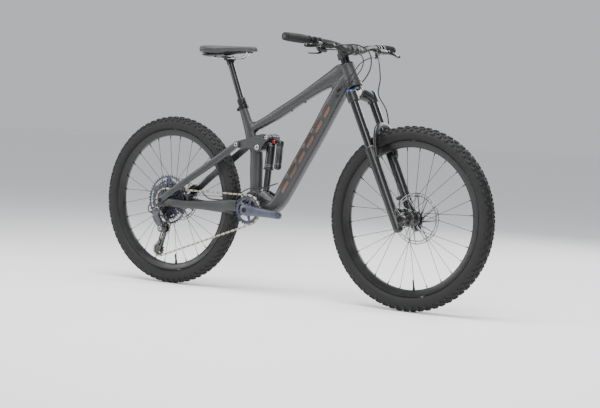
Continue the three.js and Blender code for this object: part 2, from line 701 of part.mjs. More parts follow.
// ---- cockpit ----
function stem() {
  const clamp = rod(fork(687, 0), fork(726, 0), 19.5, 16);
  const spacers = rod(fork(HEAD_TOP + GAP, 0), fork(688, 0), 17, 16);
  const barClamp = rod(fork(STEM_HEIGHT, STEM_REACH, -26), fork(STEM_HEIGHT, STEM_REACH, 26), 21, 16);
  const arm = slab(fork(STEM_HEIGHT, STEM_REACH / 2), [44, 34, 30], 25);
  const barHole = rod(fork(STEM_HEIGHT, STEM_REACH, -40), fork(STEM_HEIGHT, STEM_REACH, 40), 16.3, 16);
  const bore = rod(fork(HEAD_TOP - 5, 0), fork(740, 0), STEERER_RADIUS + 0.4, 16);
  return cut(joined(clamp, spacers, barClamp, arm), barHole, bore);
}

const barCentre = fork(STEM_HEIGHT, STEM_REACH);
const BAR_ROUTE = [
  [barCentre.x, 30, barCentre.z, 15.9],
  [barCentre.x, 46, barCentre.z, 15.9],
  [871, 90, 1003, 14],
  [866, 130, 1010, 12.4],
  [...BAR_BEND, BAR_RADIUS],
  [...BAR_END, BAR_RADIUS],
];

// A point of the straight grip section, at a distance across and with a shift ahead and up.
function onBar(y, ahead = 0, up = 0) {
  const t = (Math.abs(y) - BAR_BEND[1]) / (BAR_END[1] - BAR_BEND[1]);
  const mix = (i) => BAR_BEND[i] + (BAR_END[i] - BAR_BEND[i]) * t;
  return point(mix(0) + ahead, y, mix(2) + up);
}

function handlebar() {
  const station = ([x, y, z, r], side) => [x, side * y, z, r, r];
  const right = [...BAR_ROUTE].reverse().map((s) => station(s, -1));
  const left = BAR_ROUTE.map((s) => station(s, 1));
  return loft([...right, ...left], 12, FORWARD, 1);
}

function grip(side) {
  const sleeve = rod(onBar(side * 266), onBar(side * 388), 16.5, 16);
  return cut(sleeve, rod(onBar(side * 250), onBar(side * 405), BAR_RADIUS + GAP + 0.2, 16));
}

// A clamp band on the bar with a body hung ahead of and under it.
function barClamp(side, y, width) {
  const band = rod(onBar(side * y), onBar(side * (y + width)), 15, 12);
  const hole = rod(onBar(side * (y - 20)), onBar(side * (y + width + 20)), BAR_RADIUS + GAP + 0.2, 12);
  return { band, hole };
}

function brakeBody(side) {
  const { band, hole } = barClamp(side, 226, 13);
  const master = rod(onBar(side * 150, 26, -12), onBar(side * 246, 34, -14), 12, 12);
  const neck = rod(onBar(side * 232.5, 8, -4), onBar(side * 232.5, 30, -12), 7, 10);
  return cut(joined(band, master, neck), hole);
}

const leverPivot = (side) => onBar(side * 252, 42, -15);

function brakeLever(side) {
  const pivot = leverPivot(side);
  const [x, , z] = pivot.toArray();
  const at = (y, ahead, up) => onBar(side * y, ahead, up).toArray();
  return loft([
    [x - 8, side * 252, z - 1, 6, 5],
    [x + 6, side * 268, z - 3, 6, 4.5],
    [...at(300, 56, -26), 6, 4.5],
    [...at(334, 50, -28), 6, 4.5],
    [...at(344, 54, -28), 5, 3.5],
  ], 8, UPWARD);
}

function shifterBody() {
  const { band, hole } = barClamp(-1, 200, 11);
  const pod = slab(onBar(-205, 12, -30), [40, 30, 17], -20);
  const neck = rod(onBar(-205.5, 2, -6), onBar(-205.5, 10, -22), 6, 10);
  return cut(joined(band, pod, neck), hole);
}

function shiftPaddle() {
  const at = (y, ahead, up) => onBar(y, ahead, up).toArray();
  return loft([
    [...at(-206, 4, -45), 8, 3],
    [...at(-224, -4, -47), 9, 2.6],
    [...at(-242, -14, -48), 9, 2.4],
  ], 8, FORWARD);
}

function dropperRemote() {
  const { band, hole } = barClamp(1, 202, 10);
  const arm = slab(onBar(207, 4, -22), [24, 12, 18], -25);
  return cut(joined(band, arm), hole);
}

function dropperLever() {
  const at = (y, ahead, up) => onBar(y, ahead, up).toArray();
  return loft([
    [...at(206, 4, -38), 8, 3],
    [...at(224, -2, -39), 9, 2.6],
    [...at(246, -8, -40), 10, 2.4],
  ], 8, FORWARD);
}

function cockpit() {
  return [
    part("stem", stem(), SATIN_BLACK),
    part("handlebar", handlebar(), SATIN_BLACK),
    part("grip_right", grip(-1), RUBBER),
    part("grip_left", grip(1), RUBBER),
    part("brake_body_right", brakeBody(-1), ANODISED),
    part("brake_body_left", brakeBody(1), ANODISED),
    part("brake_lever_right", brakeLever(-1), ANODISED),
    part("brake_lever_left", brakeLever(1), ANODISED),
    part("shifter_body", shifterBody(), PLASTIC),
    part("shift_paddle", shiftPaddle(), ANODISED),
    part("dropper_remote", dropperRemote(), PLASTIC),
    part("dropper_lever", dropperLever(), ANODISED),
  ];
}

// ---- hoses and cable housings ----
function cables() {
  const rearBrake = [[880, -146, 1001], [905, -110, 1008], [938, -60, 1010], [958, -10, 985], [948, 22, 935],
    [915, 40, 890], [876, 40, 852], [842, 33.5, 826]];
  const shift = [[880, -182, 982], [905, -140, 985], [935, -85, 985], [950, -45, 965], [945, -38, 925],
    [912, -41, 882], [872, -40, 845], [838, -32.5, 820]];
  const dropper = [[863, 196, 984], [893, 150, 970], [925, 90, 968], [945, 30, 968], [935, -30, 945],
    [908, -41, 905], [872, -40, 868], [840, -32.5, 843]];
  const alongLeg = [[520, 48, 78], [450, 50, 92], [380, 30, 100], [300, 10, 100], [200, -2, 97],
    [120, -10, 85], [72, -14, 52]];
  const frontBrake = [[880, 146, 1000], [907, 128, 994], [935, 100, 960], [955, 84, 890],
    ...alongLeg.map(([up, ahead, y]) => fork(up, ahead, y).toArray())];
  const lower = [[552, -33, 452], [520, -37, 440], [480, -39, 433], [440, -41, 430], [400, -41, 414],
    [366, -41, 383]];
  return [
    part("rear_brake_hose", cable(rearBrake, 2.5, 16), RUBBER),
    part("shift_housing", cable(shift, 2.2, 16), RUBBER),
    part("dropper_housing", cable(dropper, 2.2, 16), RUBBER),
    part("front_brake_hose", cable(frontBrake, 2.5, 24), RUBBER),
    part("rear_brake_hose_lower", cable(lower, 2.5, 10), RUBBER),
  ];
}

function rearBrake() {
  const { y, radius } = REAR_ROTOR;
  return [part("rear_caliper", caliper([0, TYRE_RADIUS], 32, y, radius), SATIN_BLACK)];
}

const bike = new THREE.Group();
bike.add(
  ...frontTriangle(),
  part("dropper_outer", dropperOuter(), SATIN_BLACK),
  ...seatPost(),
  ...rearSuspension(),
  ...wheel("rear", 0, REAR_HUB, [-22.5, 29.5], REAR_ROTOR),
  ...wheel("front", WHEELBASE, FRONT_HUB, [-23.5, 23.5], FRONT_ROTOR),
  ...drivetrain(),
  ...forkParts(),
  ...cockpit(),
  ...rearBrake(),
  ...cables(),
);
bike.position.x = -WHEELBASE / 2;

export default bike;
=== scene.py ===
import json
import math

import bmesh
import bpy
import numpy as np
from mathutils import Matrix, Vector
from mathutils.geometry import tessellate_polygon


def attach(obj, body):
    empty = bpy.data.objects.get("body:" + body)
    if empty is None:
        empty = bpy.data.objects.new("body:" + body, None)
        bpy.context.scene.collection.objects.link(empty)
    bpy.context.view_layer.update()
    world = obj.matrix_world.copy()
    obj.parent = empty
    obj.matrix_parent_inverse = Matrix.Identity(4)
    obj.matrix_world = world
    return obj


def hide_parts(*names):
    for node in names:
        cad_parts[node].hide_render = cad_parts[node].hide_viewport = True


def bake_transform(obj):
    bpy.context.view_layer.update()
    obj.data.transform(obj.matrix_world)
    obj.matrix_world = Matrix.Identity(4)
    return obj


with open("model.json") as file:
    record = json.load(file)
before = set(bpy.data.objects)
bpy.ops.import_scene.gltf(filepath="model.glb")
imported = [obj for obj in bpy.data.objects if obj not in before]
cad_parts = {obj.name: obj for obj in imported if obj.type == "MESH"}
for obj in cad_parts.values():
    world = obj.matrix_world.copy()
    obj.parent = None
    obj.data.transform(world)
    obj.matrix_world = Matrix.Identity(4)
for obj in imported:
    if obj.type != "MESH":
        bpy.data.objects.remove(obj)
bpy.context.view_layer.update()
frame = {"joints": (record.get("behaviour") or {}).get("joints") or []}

JOINTS = {joint["name"]: joint for joint in frame["joints"]}
AXLE_X = JOINTS["rear_wheel_spin"]["pos_m"][0] * 1000
MM = 0.001


def pivot(name):
    """A joint's centre as x and z in the side view, in millimetres."""
    x, _, z = JOINTS[name]["pos_m"]
    return x * 1000 - AXLE_X, z * 1000


REAR_AXLE = pivot("rear_wheel_spin")
FRONT_AXLE = pivot("front_wheel_spin")
BRACKET = pivot("crank_spin")
MAIN_PIVOT = pivot("suspension")
ROCKER_PIVOT = pivot("rocker_pivot")
SHOCK_FOOT = pivot("shock_swivel")
UPPER_PULLEY = pivot("upper_pulley_spin")
LOWER_PULLEY = pivot("lower_pulley_spin")
STEER_UP = np.array(JOINTS["steering"]["axis"])
STEER_AHEAD = np.array([STEER_UP[2], 0, -STEER_UP[0]])
SEAT_UP = np.array(JOINTS["dropper_travel"]["axis"])
SHOCK_UP = np.array(JOINTS["shock_travel"]["axis"])
SHOCK_AHEAD = np.array([SHOCK_UP[2], 0, -SHOCK_UP[0]])
FORK_OFFSET = 44
SHOCK_TOP = (505, 639)
STAY_PIVOT = (361, 604)
TYRE_RADIUS = 355
CHAIN_PLANE = -50
CHAINRING_PITCH = 60.75
COG_PITCH = 48.65
COG_SPACING = 3.65
COG_TEETH = [52, 42, 36, 32, 28, 24, 21, 18, 16, 14, 12, 10]
UPPER_PULLEY_PITCH = 24.3
LOWER_PULLEY_PITCH = 28.4
CRANK_LENGTH = 175
CRANK_ANGLE = math.radians(-3.3)
ACROSS = (0, 1, 0)
TYRE_SECTION = 322
SPOKES = 28
LEG_SIDES = (-70, 70)
LEG_AHEAD = 18
REAR_DISC = (55, 90)
FRONT_DISC = (44.5, 100)
SIDES = ((-1, "right"), (1, "left"))


def fork(up, ahead, y=0.0):
    """A point up the steering axis from the front axle's height, ahead of the axis and across."""
    foot = np.array([FRONT_AXLE[0], y, FRONT_AXLE[1]])
    return foot + STEER_UP * up + STEER_AHEAD * (ahead - FORK_OFFSET)


def on_seat(z, ahead=0.0, y=0.0):
    """A point at a height on the seat post's axis, or ahead of it."""
    foot = np.array([354.5, y, 758.0])
    across = np.array([SEAT_UP[2], 0, -SEAT_UP[0]])
    return foot + SEAT_UP * ((z - foot[2]) / SEAT_UP[2]) + across * ahead


def on_shock(t, ahead=0.0, y=0.0):
    """A point up the shock from its lower eye, ahead of its axis and across."""
    return np.array([SHOCK_FOOT[0], y, SHOCK_FOOT[1]]) + SHOCK_UP * t + SHOCK_AHEAD * ahead


BAR_BEND = np.array([861.0, 165.0, 1013.5])
BAR_END = np.array([821.0, 390.0, 1020.0])


def on_bar(y, ahead=0.0, up=0.0):
    """A point of the straight grip section at a distance across, moved ahead and up."""
    t = (abs(y) - BAR_BEND[1]) / (BAR_END[1] - BAR_BEND[1])
    at = BAR_BEND + (BAR_END - BAR_BEND) * t
    return np.array([at[0] + ahead, y, at[2] + up])


# ---------- shapes ----------
class Shape:
    """Vertices and faces that grow piece by piece, in millimetres."""

    def __init__(self):
        self.verts = []
        self.faces = []

    def add(self, verts, faces):
        base = len(self.verts)
        self.verts.extend(tuple(float(c) for c in v) for v in verts)
        self.faces.extend(tuple(base + i for i in face) for face in faces)
        return self

    def mirror(self):
        """Adds the same shape on the other side of the bike."""
        flipped = [(x, -y, z) for x, y, z in self.verts]
        return self.add(flipped, [face[::-1] for face in self.faces])

    def flipped(self):
        """The shape on the other side only."""
        other = Shape()
        return other.add([(x, -y, z) for x, y, z in self.verts], [f[::-1] for f in self.faces])


def unit(v):
    v = np.asarray(v, float)
    return v / np.linalg.norm(v)


def smooth_path(points, steps):
    """Catmull-Rom through rows of numbers, sampled evenly in each span."""
    p = np.asarray(points, float)
    p = np.vstack([2 * p[0] - p[1], p, 2 * p[-1] - p[-2]])
    rows = []
    for i in range(1, len(p) - 2):
        for k in range(steps):
            t = k / steps
            a, b, c, d = p[i - 1], p[i], p[i + 1], p[i + 2]
            rows.append(0.5 * (2 * b + (c - a) * t + (2 * a - 5 * b + 4 * c - d) * t ** 2
                               + (3 * b - a - 3 * c + d) * t ** 3))
    rows.append(p[-2])
    return np.array(rows)


def skin(shape, rings, closed=False, caps=True):
    """Quads between rings of equal length."""
    n = len(rings[0])
    verts = [v for ring in rings for v in ring]
    faces = []
    last = len(rings) if closed else len(rings) - 1
    for i in range(last):
        a, b = i * n, ((i + 1) % len(rings)) * n
        for k in range(n):
            faces.append((a + k, a + (k + 1) % n, b + (k + 1) % n, b + k))
    if caps and not closed:
        faces.append(tuple(range(n - 1, -1, -1)))
        top = (len(rings) - 1) * n
        faces.append(tuple(range(top, top + n)))
    return shape.add(verts, faces)


def tube(shape, points, radius, sides=12, steps=6):
    """A round tube through points; radius is one number or one per point."""
    radii = np.broadcast_to(np.asarray(radius, float), (len(points),)).reshape(-1, 1)
    rows = smooth_path(np.hstack([np.asarray(points, float), radii]), steps)
    path, radii = rows[:, :3], rows[:, 3]
    normal = None
    rings = []
    for i, at in enumerate(path):
        along = unit(path[min(i + 1, len(path) - 1)] - path[max(i - 1, 0)])
        if normal is None:
            seed = np.array([0, 0, 1.0]) if abs(along[2]) < 0.9 else np.array([1.0, 0, 0])
            normal = unit(np.cross(along, seed))
        normal = unit(normal - along * normal.dot(along))
        other = np.cross(along, normal)
        turn = [2 * math.pi * k / sides for k in range(sides)]
        rings.append([at + radii[i] * (math.cos(a) * normal + math.sin(a) * other) for a in turn])
    return skin(shape, rings)


def loft(shape, stations, sides=24, side=ACROSS, square=0.75, steps=6):
    """A tube of rounded-box section. A station is x, y, z, half width along side, half depth across."""
    rows = smooth_path(stations, steps)
    side = np.asarray(side, float)
    rings = []
    for i, row in enumerate(rows):
        along = unit(rows[min(i + 1, len(rows) - 1), :3] - rows[max(i - 1, 0), :3])
        across = unit(side - along * side.dot(along))
        deep = np.cross(across, along)
        ring = []
        for k in range(sides):
            turn = 2 * math.pi * k / sides
            u = math.copysign(abs(math.cos(turn)) ** square, math.cos(turn))
            v = math.copysign(abs(math.sin(turn)) ** square, math.sin(turn))
            ring.append(row[:3] + across * u * row[3] + deep * v * row[4])
        rings.append(ring[::-1])
    return skin(shape, rings)


def placed(place, rows):
    """Loft stations whose first numbers are a point in the coordinates of a placing function."""
    return [(*place(*row[:-2]), *row[-2:]) for row in rows]


def both_sides(rows):
    """Placed stations from the outside to near the middle, carried over to the other side."""
    return [(u, ahead, -y, *size) for u, ahead, y, *size in rows] + rows[::-1]


def lathe(shape, profile, centre, axis, sides=48, closed=False):
    """Turns pairs of radius and height about an axis. A closed profile makes a ring."""
    axis = unit(axis)
    seed = np.array([0, 0, 1.0]) if abs(axis[2]) < 0.9 else np.array([1.0, 0, 0])
    u = unit(np.cross(seed, axis))
    w = np.cross(axis, u)
    rings = []
    for r, h in profile:
        turn = [2 * math.pi * k / sides for k in range(sides)]
        rings.append([np.asarray(centre) + axis * h + r * (math.cos(a) * u + math.sin(a) * w) for a in turn])
    return skin(shape, rings, closed=closed, caps=not closed)


def disc(shape, x, z, radius, y0, y1, bevel=0.6, sides=32):
    """A round boss across the bike with softened edges."""
    profile = [(radius - bevel, y0), (radius, y0 + bevel), (radius, y1 - bevel), (radius - bevel, y1)]
    return lathe(shape, profile, (x, 0, z), ACROSS, sides)


def rod(shape, start, end, radius, bevel=0.5, sides=24, end_radius=None):
    """A round bar between two points with softened edges."""
    start, end = np.asarray(start, float), np.asarray(end, float)
    high = np.linalg.norm(end - start)
    last = radius if end_radius is None else end_radius
    profile = [(radius - bevel, 0), (radius, bevel), (last, high - bevel), (last - bevel, high)]
    return lathe(shape, profile, start, end - start, sides)


def bolt(shape, at, axis, radius=4.0, height=3.0):
    """A round bolt head with a hexagonal socket."""
    lathe(shape, [(radius, 0), (radius, height * 0.7), (radius * 0.85, height)], at, axis, 24)
    rim = np.asarray(at) + unit(axis) * height
    outer = [(radius * 0.85, 0), (radius * 0.55, 0.05)]
    inner = [(radius * 0.5, -height * 0.6), (0.01, -height * 0.6)]
    return lathe(shape, outer + inner, rim, axis, 6)


def block(shape, centre, size, axes=None, bevel=1.0):
    """A box with chamfered edges; axes are its three directions."""
    axes = np.eye(3) if axes is None else np.asarray(axes, float)
    half = np.asarray(size, float) / 2
    mesh = bmesh.new()
    bmesh.ops.create_cube(mesh, size=2)
    for vert in mesh.verts:
        vert.co = Vector(np.asarray(vert.co) * half)
    bmesh.ops.bevel(mesh, geom=mesh.edges[:], offset=bevel, segments=2, affect="EDGES", profile=0.6)
    mesh.verts.index_update()
    verts = [np.asarray(centre) + np.asarray(v.co) @ axes for v in mesh.verts]
    faces = [tuple(v.index for v in face.verts) for face in mesh.faces]
    mesh.free()
    return shape.add(verts, faces)


def tilted(degrees):
    """Axes of a box whose length rises by an angle in the side view."""
    a = math.radians(degrees)
    return [(math.cos(a), 0, math.sin(a)), ACROSS, (-math.sin(a), 0, math.cos(a))]


def outward_normals(loop):
    p = np.asarray(loop, float)
    edge = np.roll(p, -1, 0) - np.roll(p, 1, 0)
    edge /= np.linalg.norm(edge, axis=1, keepdims=True)
    return np.stack([edge[:, 1], -edge[:, 0]], 1)


def plate(shape, outlines, y0, y1, chamfer=0.4):
    """A flat plate in the side view. The first outline is its edge and the others are holes."""
    loops = []
    for number, loop in enumerate(outlines):
        p = np.asarray(loop, float)
        area = np.sum(p[:, 0] * np.roll(p[:, 1], -1) - np.roll(p[:, 0], -1) * p[:, 1])
        loops.append(p if (area > 0) == (number == 0) else p[::-1])
    inset = [p - outward_normals(p) * chamfer for p in loops]
    levels = [(inset, y0), (loops, y0 + chamfer), (loops, y1 - chamfer), (inset, y1)]
    verts = [(x, y, z) for level, y in levels for p in level for x, z in p]
    count = sum(len(p) for p in loops)
    faces = []
    for level in range(3):
        start = level * count
        for p in loops:
            n = len(p)
            for k in range(n):
                a, b = start + k, start + (k + 1) % n
                faces.append((a, b, b + count, a + count))
            start += n
    flat = tessellate_polygon([[Vector((x, z, 0)) for x, z in p] for p in inset])
    joined = np.vstack(inset)
    for a, b, c in flat:
        (ax, az), (bx, bz), (cx, cz) = joined[a], joined[b], joined[c]
        if (bx - ax) * (cz - az) - (bz - az) * (cx - ax) < 0:
            b, c = c, b
        faces.append((a, b, c))
        top = 3 * count
        faces.append((top + a, top + c, top + b))
    return shape.add(verts, [face[::-1] for face in faces[: 3 * count]] + faces[3 * count:])


def polar(centre, radius, turn):
    """A point of the side view at a distance and an angle from a centre."""
    return centre[0] + radius * math.cos(turn), centre[1] + radius * math.sin(turn)


def circle(x, z, radius, sides=24):
    return [polar((x, z), radius, 2 * math.pi * k / sides) for k in range(sides)]


def rounded(points, radius=6.0, steps=4):
    """An outline with its corners rounded by short curves."""
    p = np.asarray(points, float)
    out = []
    for i in range(len(p)):
        before, at, after = p[i - 1], p[i], p[(i + 1) % len(p)]
        reach = min(radius, np.linalg.norm(before - at) * 0.45, np.linalg.norm(after - at) * 0.45)
        a, b = at + unit(before - at) * reach, at + unit(after - at) * reach
        for k in range(steps + 1):
            t = k / steps
            out.append((1 - t) ** 2 * a + 2 * t * (1 - t) * at + t ** 2 * b)
    return out


def build(name, shape, material, body, replaces=(), sharp=35.0, slot=None):
    """Makes an object from a shape, gives it its finish, and hangs it on a body."""
    verts = np.array(shape.verts)
    verts[:, 0] += AXLE_X
    mesh = bpy.data.meshes.new(name)
    mesh.from_pydata((verts * MM).tolist(), [], shape.faces)
    mesh.update()
    fixer = bmesh.new()
    fixer.from_mesh(mesh)
    bmesh.ops.recalc_face_normals(fixer, faces=fixer.faces[:])
    fixer.to_mesh(mesh)
    fixer.free()
    return dress(name, mesh, material, body, replaces, sharp, slot)


def dress(name, mesh, material, body, replaces, sharp, slot):
    """Shades a mesh, gives it its finish, and hangs it on a body."""
    mesh.shade_smooth()
    mesh.set_sharp_from_angle(angle=math.radians(sharp))
    mesh.materials.clear()
    mesh.materials.append(material)
    piece = bpy.data.objects.new(name, mesh)
    bpy.context.scene.collection.objects.link(piece)
    if body:
        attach(piece, body)
    slot = slot or SLOTS[material.name]
    if replaces:
        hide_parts(*replaces)
    return piece


def fused(name, shape, voxel, smoothing, material, body, replaces=(), slot=None):
    """Overlapping closed shapes melted into one moulded skin."""
    raw = build(name + "_raw", shape, material, body, slot=slot)
    remesh = raw.modifiers.new("melt", "REMESH")
    remesh.mode = "VOXEL"
    remesh.voxel_size = voxel * MM
    soften = raw.modifiers.new("soften", "SMOOTH")
    soften.factor = 0.5
    soften.iterations = smoothing
    bpy.context.view_layer.update()
    ready = raw.evaluated_get(bpy.context.evaluated_depsgraph_get())
    mesh = bpy.data.meshes.new_from_object(ready)
    mesh.name = name
    bpy.data.objects.remove(raw)
    return dress(name, mesh, material, body, replaces, 50.0, slot)


# ---------- materials ----------
def surface(name, dark, light, scale, roughness, metallic=0.0, bump=0.1, bump_scale=400.0,
            coat=0.0, sheen=0.0, shine=0.5, pattern="NOISE"):
    """A principled material whose colour, gloss and relief vary over the surface."""
    made = bpy.data.materials.new(name)
    made.use_nodes = True
    nodes, links = made.node_tree.nodes, made.node_tree.links
    shader = nodes["Principled BSDF"]
    where = nodes.new("ShaderNodeTexCoord")
    cloud = nodes.new("ShaderNodeTexNoise")
    cloud.inputs["Scale"].default_value = scale
    cloud.inputs["Detail"].default_value = 6
    links.new(where.outputs["Object"], cloud.inputs["Vector"])
    colours = nodes.new("ShaderNodeValToRGB")
    colours.color_ramp.elements[0].position = 0.35
    colours.color_ramp.elements[1].position = 0.65
    colours.color_ramp.elements[0].color = (*dark, 1)
    colours.color_ramp.elements[1].color = (*light, 1)
    links.new(cloud.outputs["Fac"], colours.inputs["Fac"])
    links.new(colours.outputs["Color"], shader.inputs["Base Color"])
    gloss = nodes.new("ShaderNodeMapRange")
    gloss.inputs["To Min"].default_value = roughness[0]
    gloss.inputs["To Max"].default_value = roughness[1]
    gloss.inputs["From Min"].default_value = 0.3
    gloss.inputs["From Max"].default_value = 0.7
    links.new(cloud.outputs["Fac"], gloss.inputs["Value"])
    links.new(gloss.outputs["Result"], shader.inputs["Roughness"])
    if bump > 0:
        kind = "ShaderNodeTexVoronoi" if pattern == "VORONOI" else "ShaderNodeTexNoise"
        grain = nodes.new(kind)
        height = grain.outputs["Distance" if pattern == "VORONOI" else "Fac"]
        grain.inputs["Scale"].default_value = bump_scale
        links.new(where.outputs["Object"], grain.inputs["Vector"])
        relief = nodes.new("ShaderNodeBump")
        relief.inputs["Strength"].default_value = bump
        relief.inputs["Distance"].default_value = 0.0006
        links.new(height, relief.inputs["Height"])
        links.new(relief.outputs["Normal"], shader.inputs["Normal"])
    shader.inputs["Metallic"].default_value = metallic
    shader.inputs["Specular IOR Level"].default_value = shine
    shader.inputs["Coat Weight"].default_value = coat
    shader.inputs["Coat Roughness"].default_value = 0.25
    shader.inputs["Sheen Weight"].default_value = sheen
    return made


def grey(v, tint=(1.0, 1.0, 1.0)):
    return tuple(v * t for t in tint)


COOL = (0.97, 0.99, 1.06)
CARBON = surface("carbon_matt", grey(0.019, COOL), grey(0.026, COOL), 7, (0.36, 0.44), 0.1, 0.0, coat=0.10)
FORK_BLACK = surface("fork_satin_black", grey(0.005), grey(0.009), 14, (0.26, 0.34), 0.1, 0.0, coat=0.12)
HUB = surface("hub_grey", grey(0.05), grey(0.075), 30, (0.26, 0.36), 0.9, 0.05, 1400)
STANCHION = surface("stanchion_black", grey(0.006), grey(0.010), 30, (0.10, 0.16), 0.4, 0.0, coat=0.4)
ANODISED = surface("anodised_black", grey(0.009), grey(0.015), 25, (0.28, 0.38), 0.6, 0.05, 1600)
BRIGHT = surface("machined_steel", grey(0.38), grey(0.50), 40, (0.2, 0.34), 1.0, 0.05, 1200)
ROTOR = surface("rotor_steel", grey(0.30), grey(0.40), 60, (0.26, 0.38), 1.0, 0.06, 900)
CHAIN = surface("chain_plates", (0.42, 0.38, 0.30), (0.56, 0.51, 0.42), 70, (0.2, 0.32), 1.0, 0.04, 1500)
CHAIN_DARK = surface("chain_inner_plates", (0.10, 0.09, 0.07), (0.16, 0.145, 0.115), 70, (0.24, 0.36), 1.0,
                     0.04, 1500)
CRANK = surface("crank_blue_grey", (0.058, 0.066, 0.086), (0.082, 0.092, 0.118), 18, (0.28, 0.38), 0.7, 0.0,
                coat=0.12)
COG = surface("cog_blue_grey", (0.050, 0.056, 0.070), (0.085, 0.094, 0.115), 45, (0.24, 0.36), 0.9, 0.04,
              1300)
MECH = surface("derailleur_metal", grey(0.060, COOL), grey(0.095, COOL), 35, (0.24, 0.36), 0.8, 0.03, 1200)
PLASTIC = surface("moulded_black", grey(0.008), grey(0.012), 30, (0.38, 0.5), 0.0, 0.08, 1300)
TYRE = surface("tyre_rubber", grey(0.006), grey(0.012), 45, (0.6, 0.8), 0.0, 0.2, 700, shine=0.35)
RUBBER = surface("grip_rubber", grey(0.006), grey(0.010), 40, (0.55, 0.7), 0.0, 0.15, 1500, shine=0.35)
HOSE = surface("hose_jacket", grey(0.007), grey(0.011), 40, (0.32, 0.42), 0.0, 0.04, 900)
RIM = surface("rim_black", grey(0.006), grey(0.010), 22, (0.28, 0.4), 0.2, 0.05, 1400)
SPOKE = surface("spoke_black", grey(0.02), grey(0.035), 60, (0.25, 0.35), 0.9, 0.03, 900)
COVER = surface("saddle_cover", grey(0.022, COOL), grey(0.030, COOL), 16, (0.42, 0.52), 0.0, 0.04, 1400,
                sheen=0.1, pattern="VORONOI")
PEWTER = surface("pewter_metal", grey(0.13), grey(0.19), 40, (0.3, 0.42), 0.9, 0.05, 1200)
RED = surface("anodised_red", (0.36, 0.010, 0.012), (0.46, 0.016, 0.018), 60, (0.22, 0.32), 0.6, 0.05, 900)
BLUE = surface("anodised_blue", (0.010, 0.085, 0.26), (0.015, 0.115, 0.34), 60, (0.22, 0.32), 0.6, 0.05, 900)
COPPER = surface("copper_trim", (0.105, 0.068, 0.052), (0.150, 0.098, 0.074), 14, (0.34, 0.44), 0.6, 0.0,
                 coat=0.15)
BAR_BLACK = surface("handlebar_satin", grey(0.007), grey(0.011), 20, (0.40, 0.50), 0.2, 0.0)
COPPER_DARK = surface("copper_trim_dark", (0.042, 0.027, 0.021), (0.066, 0.042, 0.032), 14, (0.36, 0.46), 0.5,
                      0.0)

# The slot of the record that each finish usually goes to.
SLOTS = {look.name: slot for slot, looks in (
    ("black_anodised", (ANODISED, BAR_BLACK, RIM, HUB)),
    ("steel", (BRIGHT, PEWTER, RED, BLUE, ROTOR)),
    ("frame_carbon", (CARBON, COPPER, COPPER_DARK)),
    ("fork_black", (FORK_BLACK, STANCHION)),
    ("rubber_black", (PLASTIC, HOSE, RUBBER)),
    ("crank_grey", (CRANK, COG)),
    ("derailleur_black", (MECH,)),
    ("tyre", (TYRE,)),
    ("spoke_black", (SPOKE,)),
    ("saddle_cover", (COVER,)),
    ("chain_steel", (CHAIN, CHAIN_DARK)),
) for look in looks}

# ---------- front triangle ----------
HEAD_BOTTOM, HEAD_TOP = 564, 664
TOP_TUBE_SLOPE = 0.565
TOP_TUBE_DOWN = unit([TOP_TUBE_SLOPE, 0, -1])
UNDER_TOP_TUBE = [np.array([x, 0, 765 + (x - 590) * TOP_TUBE_SLOPE]) for x in (590, 654)]
DOWN_TUBE_FOOT = (595, 445)
fine = 1.6
metal_grain = 1.2
small_grain = 1.1

front = Shape()
lathe(front, [(31, HEAD_BOTTOM), (33.5, HEAD_BOTTOM + 4), (33.5, HEAD_BOTTOM + 16), (30, HEAD_BOTTOM + 50),
              (28.5, HEAD_TOP - 20), (29, HEAD_TOP - 3), (27, HEAD_TOP)], fork(0, 0), STEER_UP)
loft(front, [(392, 0, 672, 14, 16), (420, 0, 680, 17, 18), (452, 0, 694, 18, 18.5), (492, 0, 714, 19, 19.5),
             (536, 0, 738, 20, 22), (640, 0, 799, 21, 21), (724, 0, 849, 22, 25), (786, 0, 882, 24, 32),
             (829, 0, 905, 27, 37), (851, 0, 913, 27, 27)], square=0.72)
loft(front, [
    (440, 0, 341, 35, 20), (475, 0, 342, 34, 23), (522, 0, 353, 31, 27), (558, 0, 385, 29, 29),
    (595, 0, 445, 29, 31), (663, 0, 557, 29, 31), (730, 0, 667.5, 29, 31), (800, 0, 790, 29, 31),
    (843, 0, 858, 28, 28), (870, 0, 896, 27, 24),
], square=0.62)
loft(front, [
    (354.5, 0, 757, 18, 18.5), (372.7, 0, 714, 18, 21), (389.7, 0, 673, 19, 23), (404, 0, 636, 20, 25),
    (427, 0, 588, 20, 26), (432, 0, 542, 20, 27), (433, 0, 498, 21, 27), (436, 0, 441, 22, 25),
    (437, 0, 375, 24, 24), (436, 0, 345, 30, 24),
], square=0.8)
# Smooth gussets: in the seat tube's fork, under the head of the top tube and over the bracket.
loft(front, [(372, 0, 700, 12, 11), (392, 0, 688, 14, 12), (418, 0, 692, 14, 10)], square=0.9)
loft(front, [(392, 0, 648, 13, 10), (412, 0, 664, 14, 12), (440, 0, 682, 14, 10)], square=0.9)
loft(front, [(800, 0, 838, 20, 14), (822, 0, 868, 22, 18), (852, 0, 893, 24, 18)], square=0.8)
loft(front, [(446, 0, 420, 20, 16), (462, 0, 388, 22, 20), (500, 0, 366, 25, 16)], square=0.8)
disc(front, *BRACKET, 25.5, -36.5, 36.5, 3)
disc(front, *ROCKER_PIVOT, 17, -33.2, 33.2, 2)
disc(front, *MAIN_PIVOT, 17, -29.3, 29.3, 2)
ear = rounded([(470, 408), (478, 422), (491, 424), (514, 413), (545, 400), (540, 366), (486, 364)], 8)
for y0, y1 in ((-23, -14), (14, 23)):
    plate(front, [ear], y0, y1, 1.2)
block(front, (518, 0, 380), (40, 30, 24), bevel=2)
for under in UNDER_TOP_TUBE:
    rod(front, under, under + TOP_TUBE_DOWN * 17.5, 7, 1)
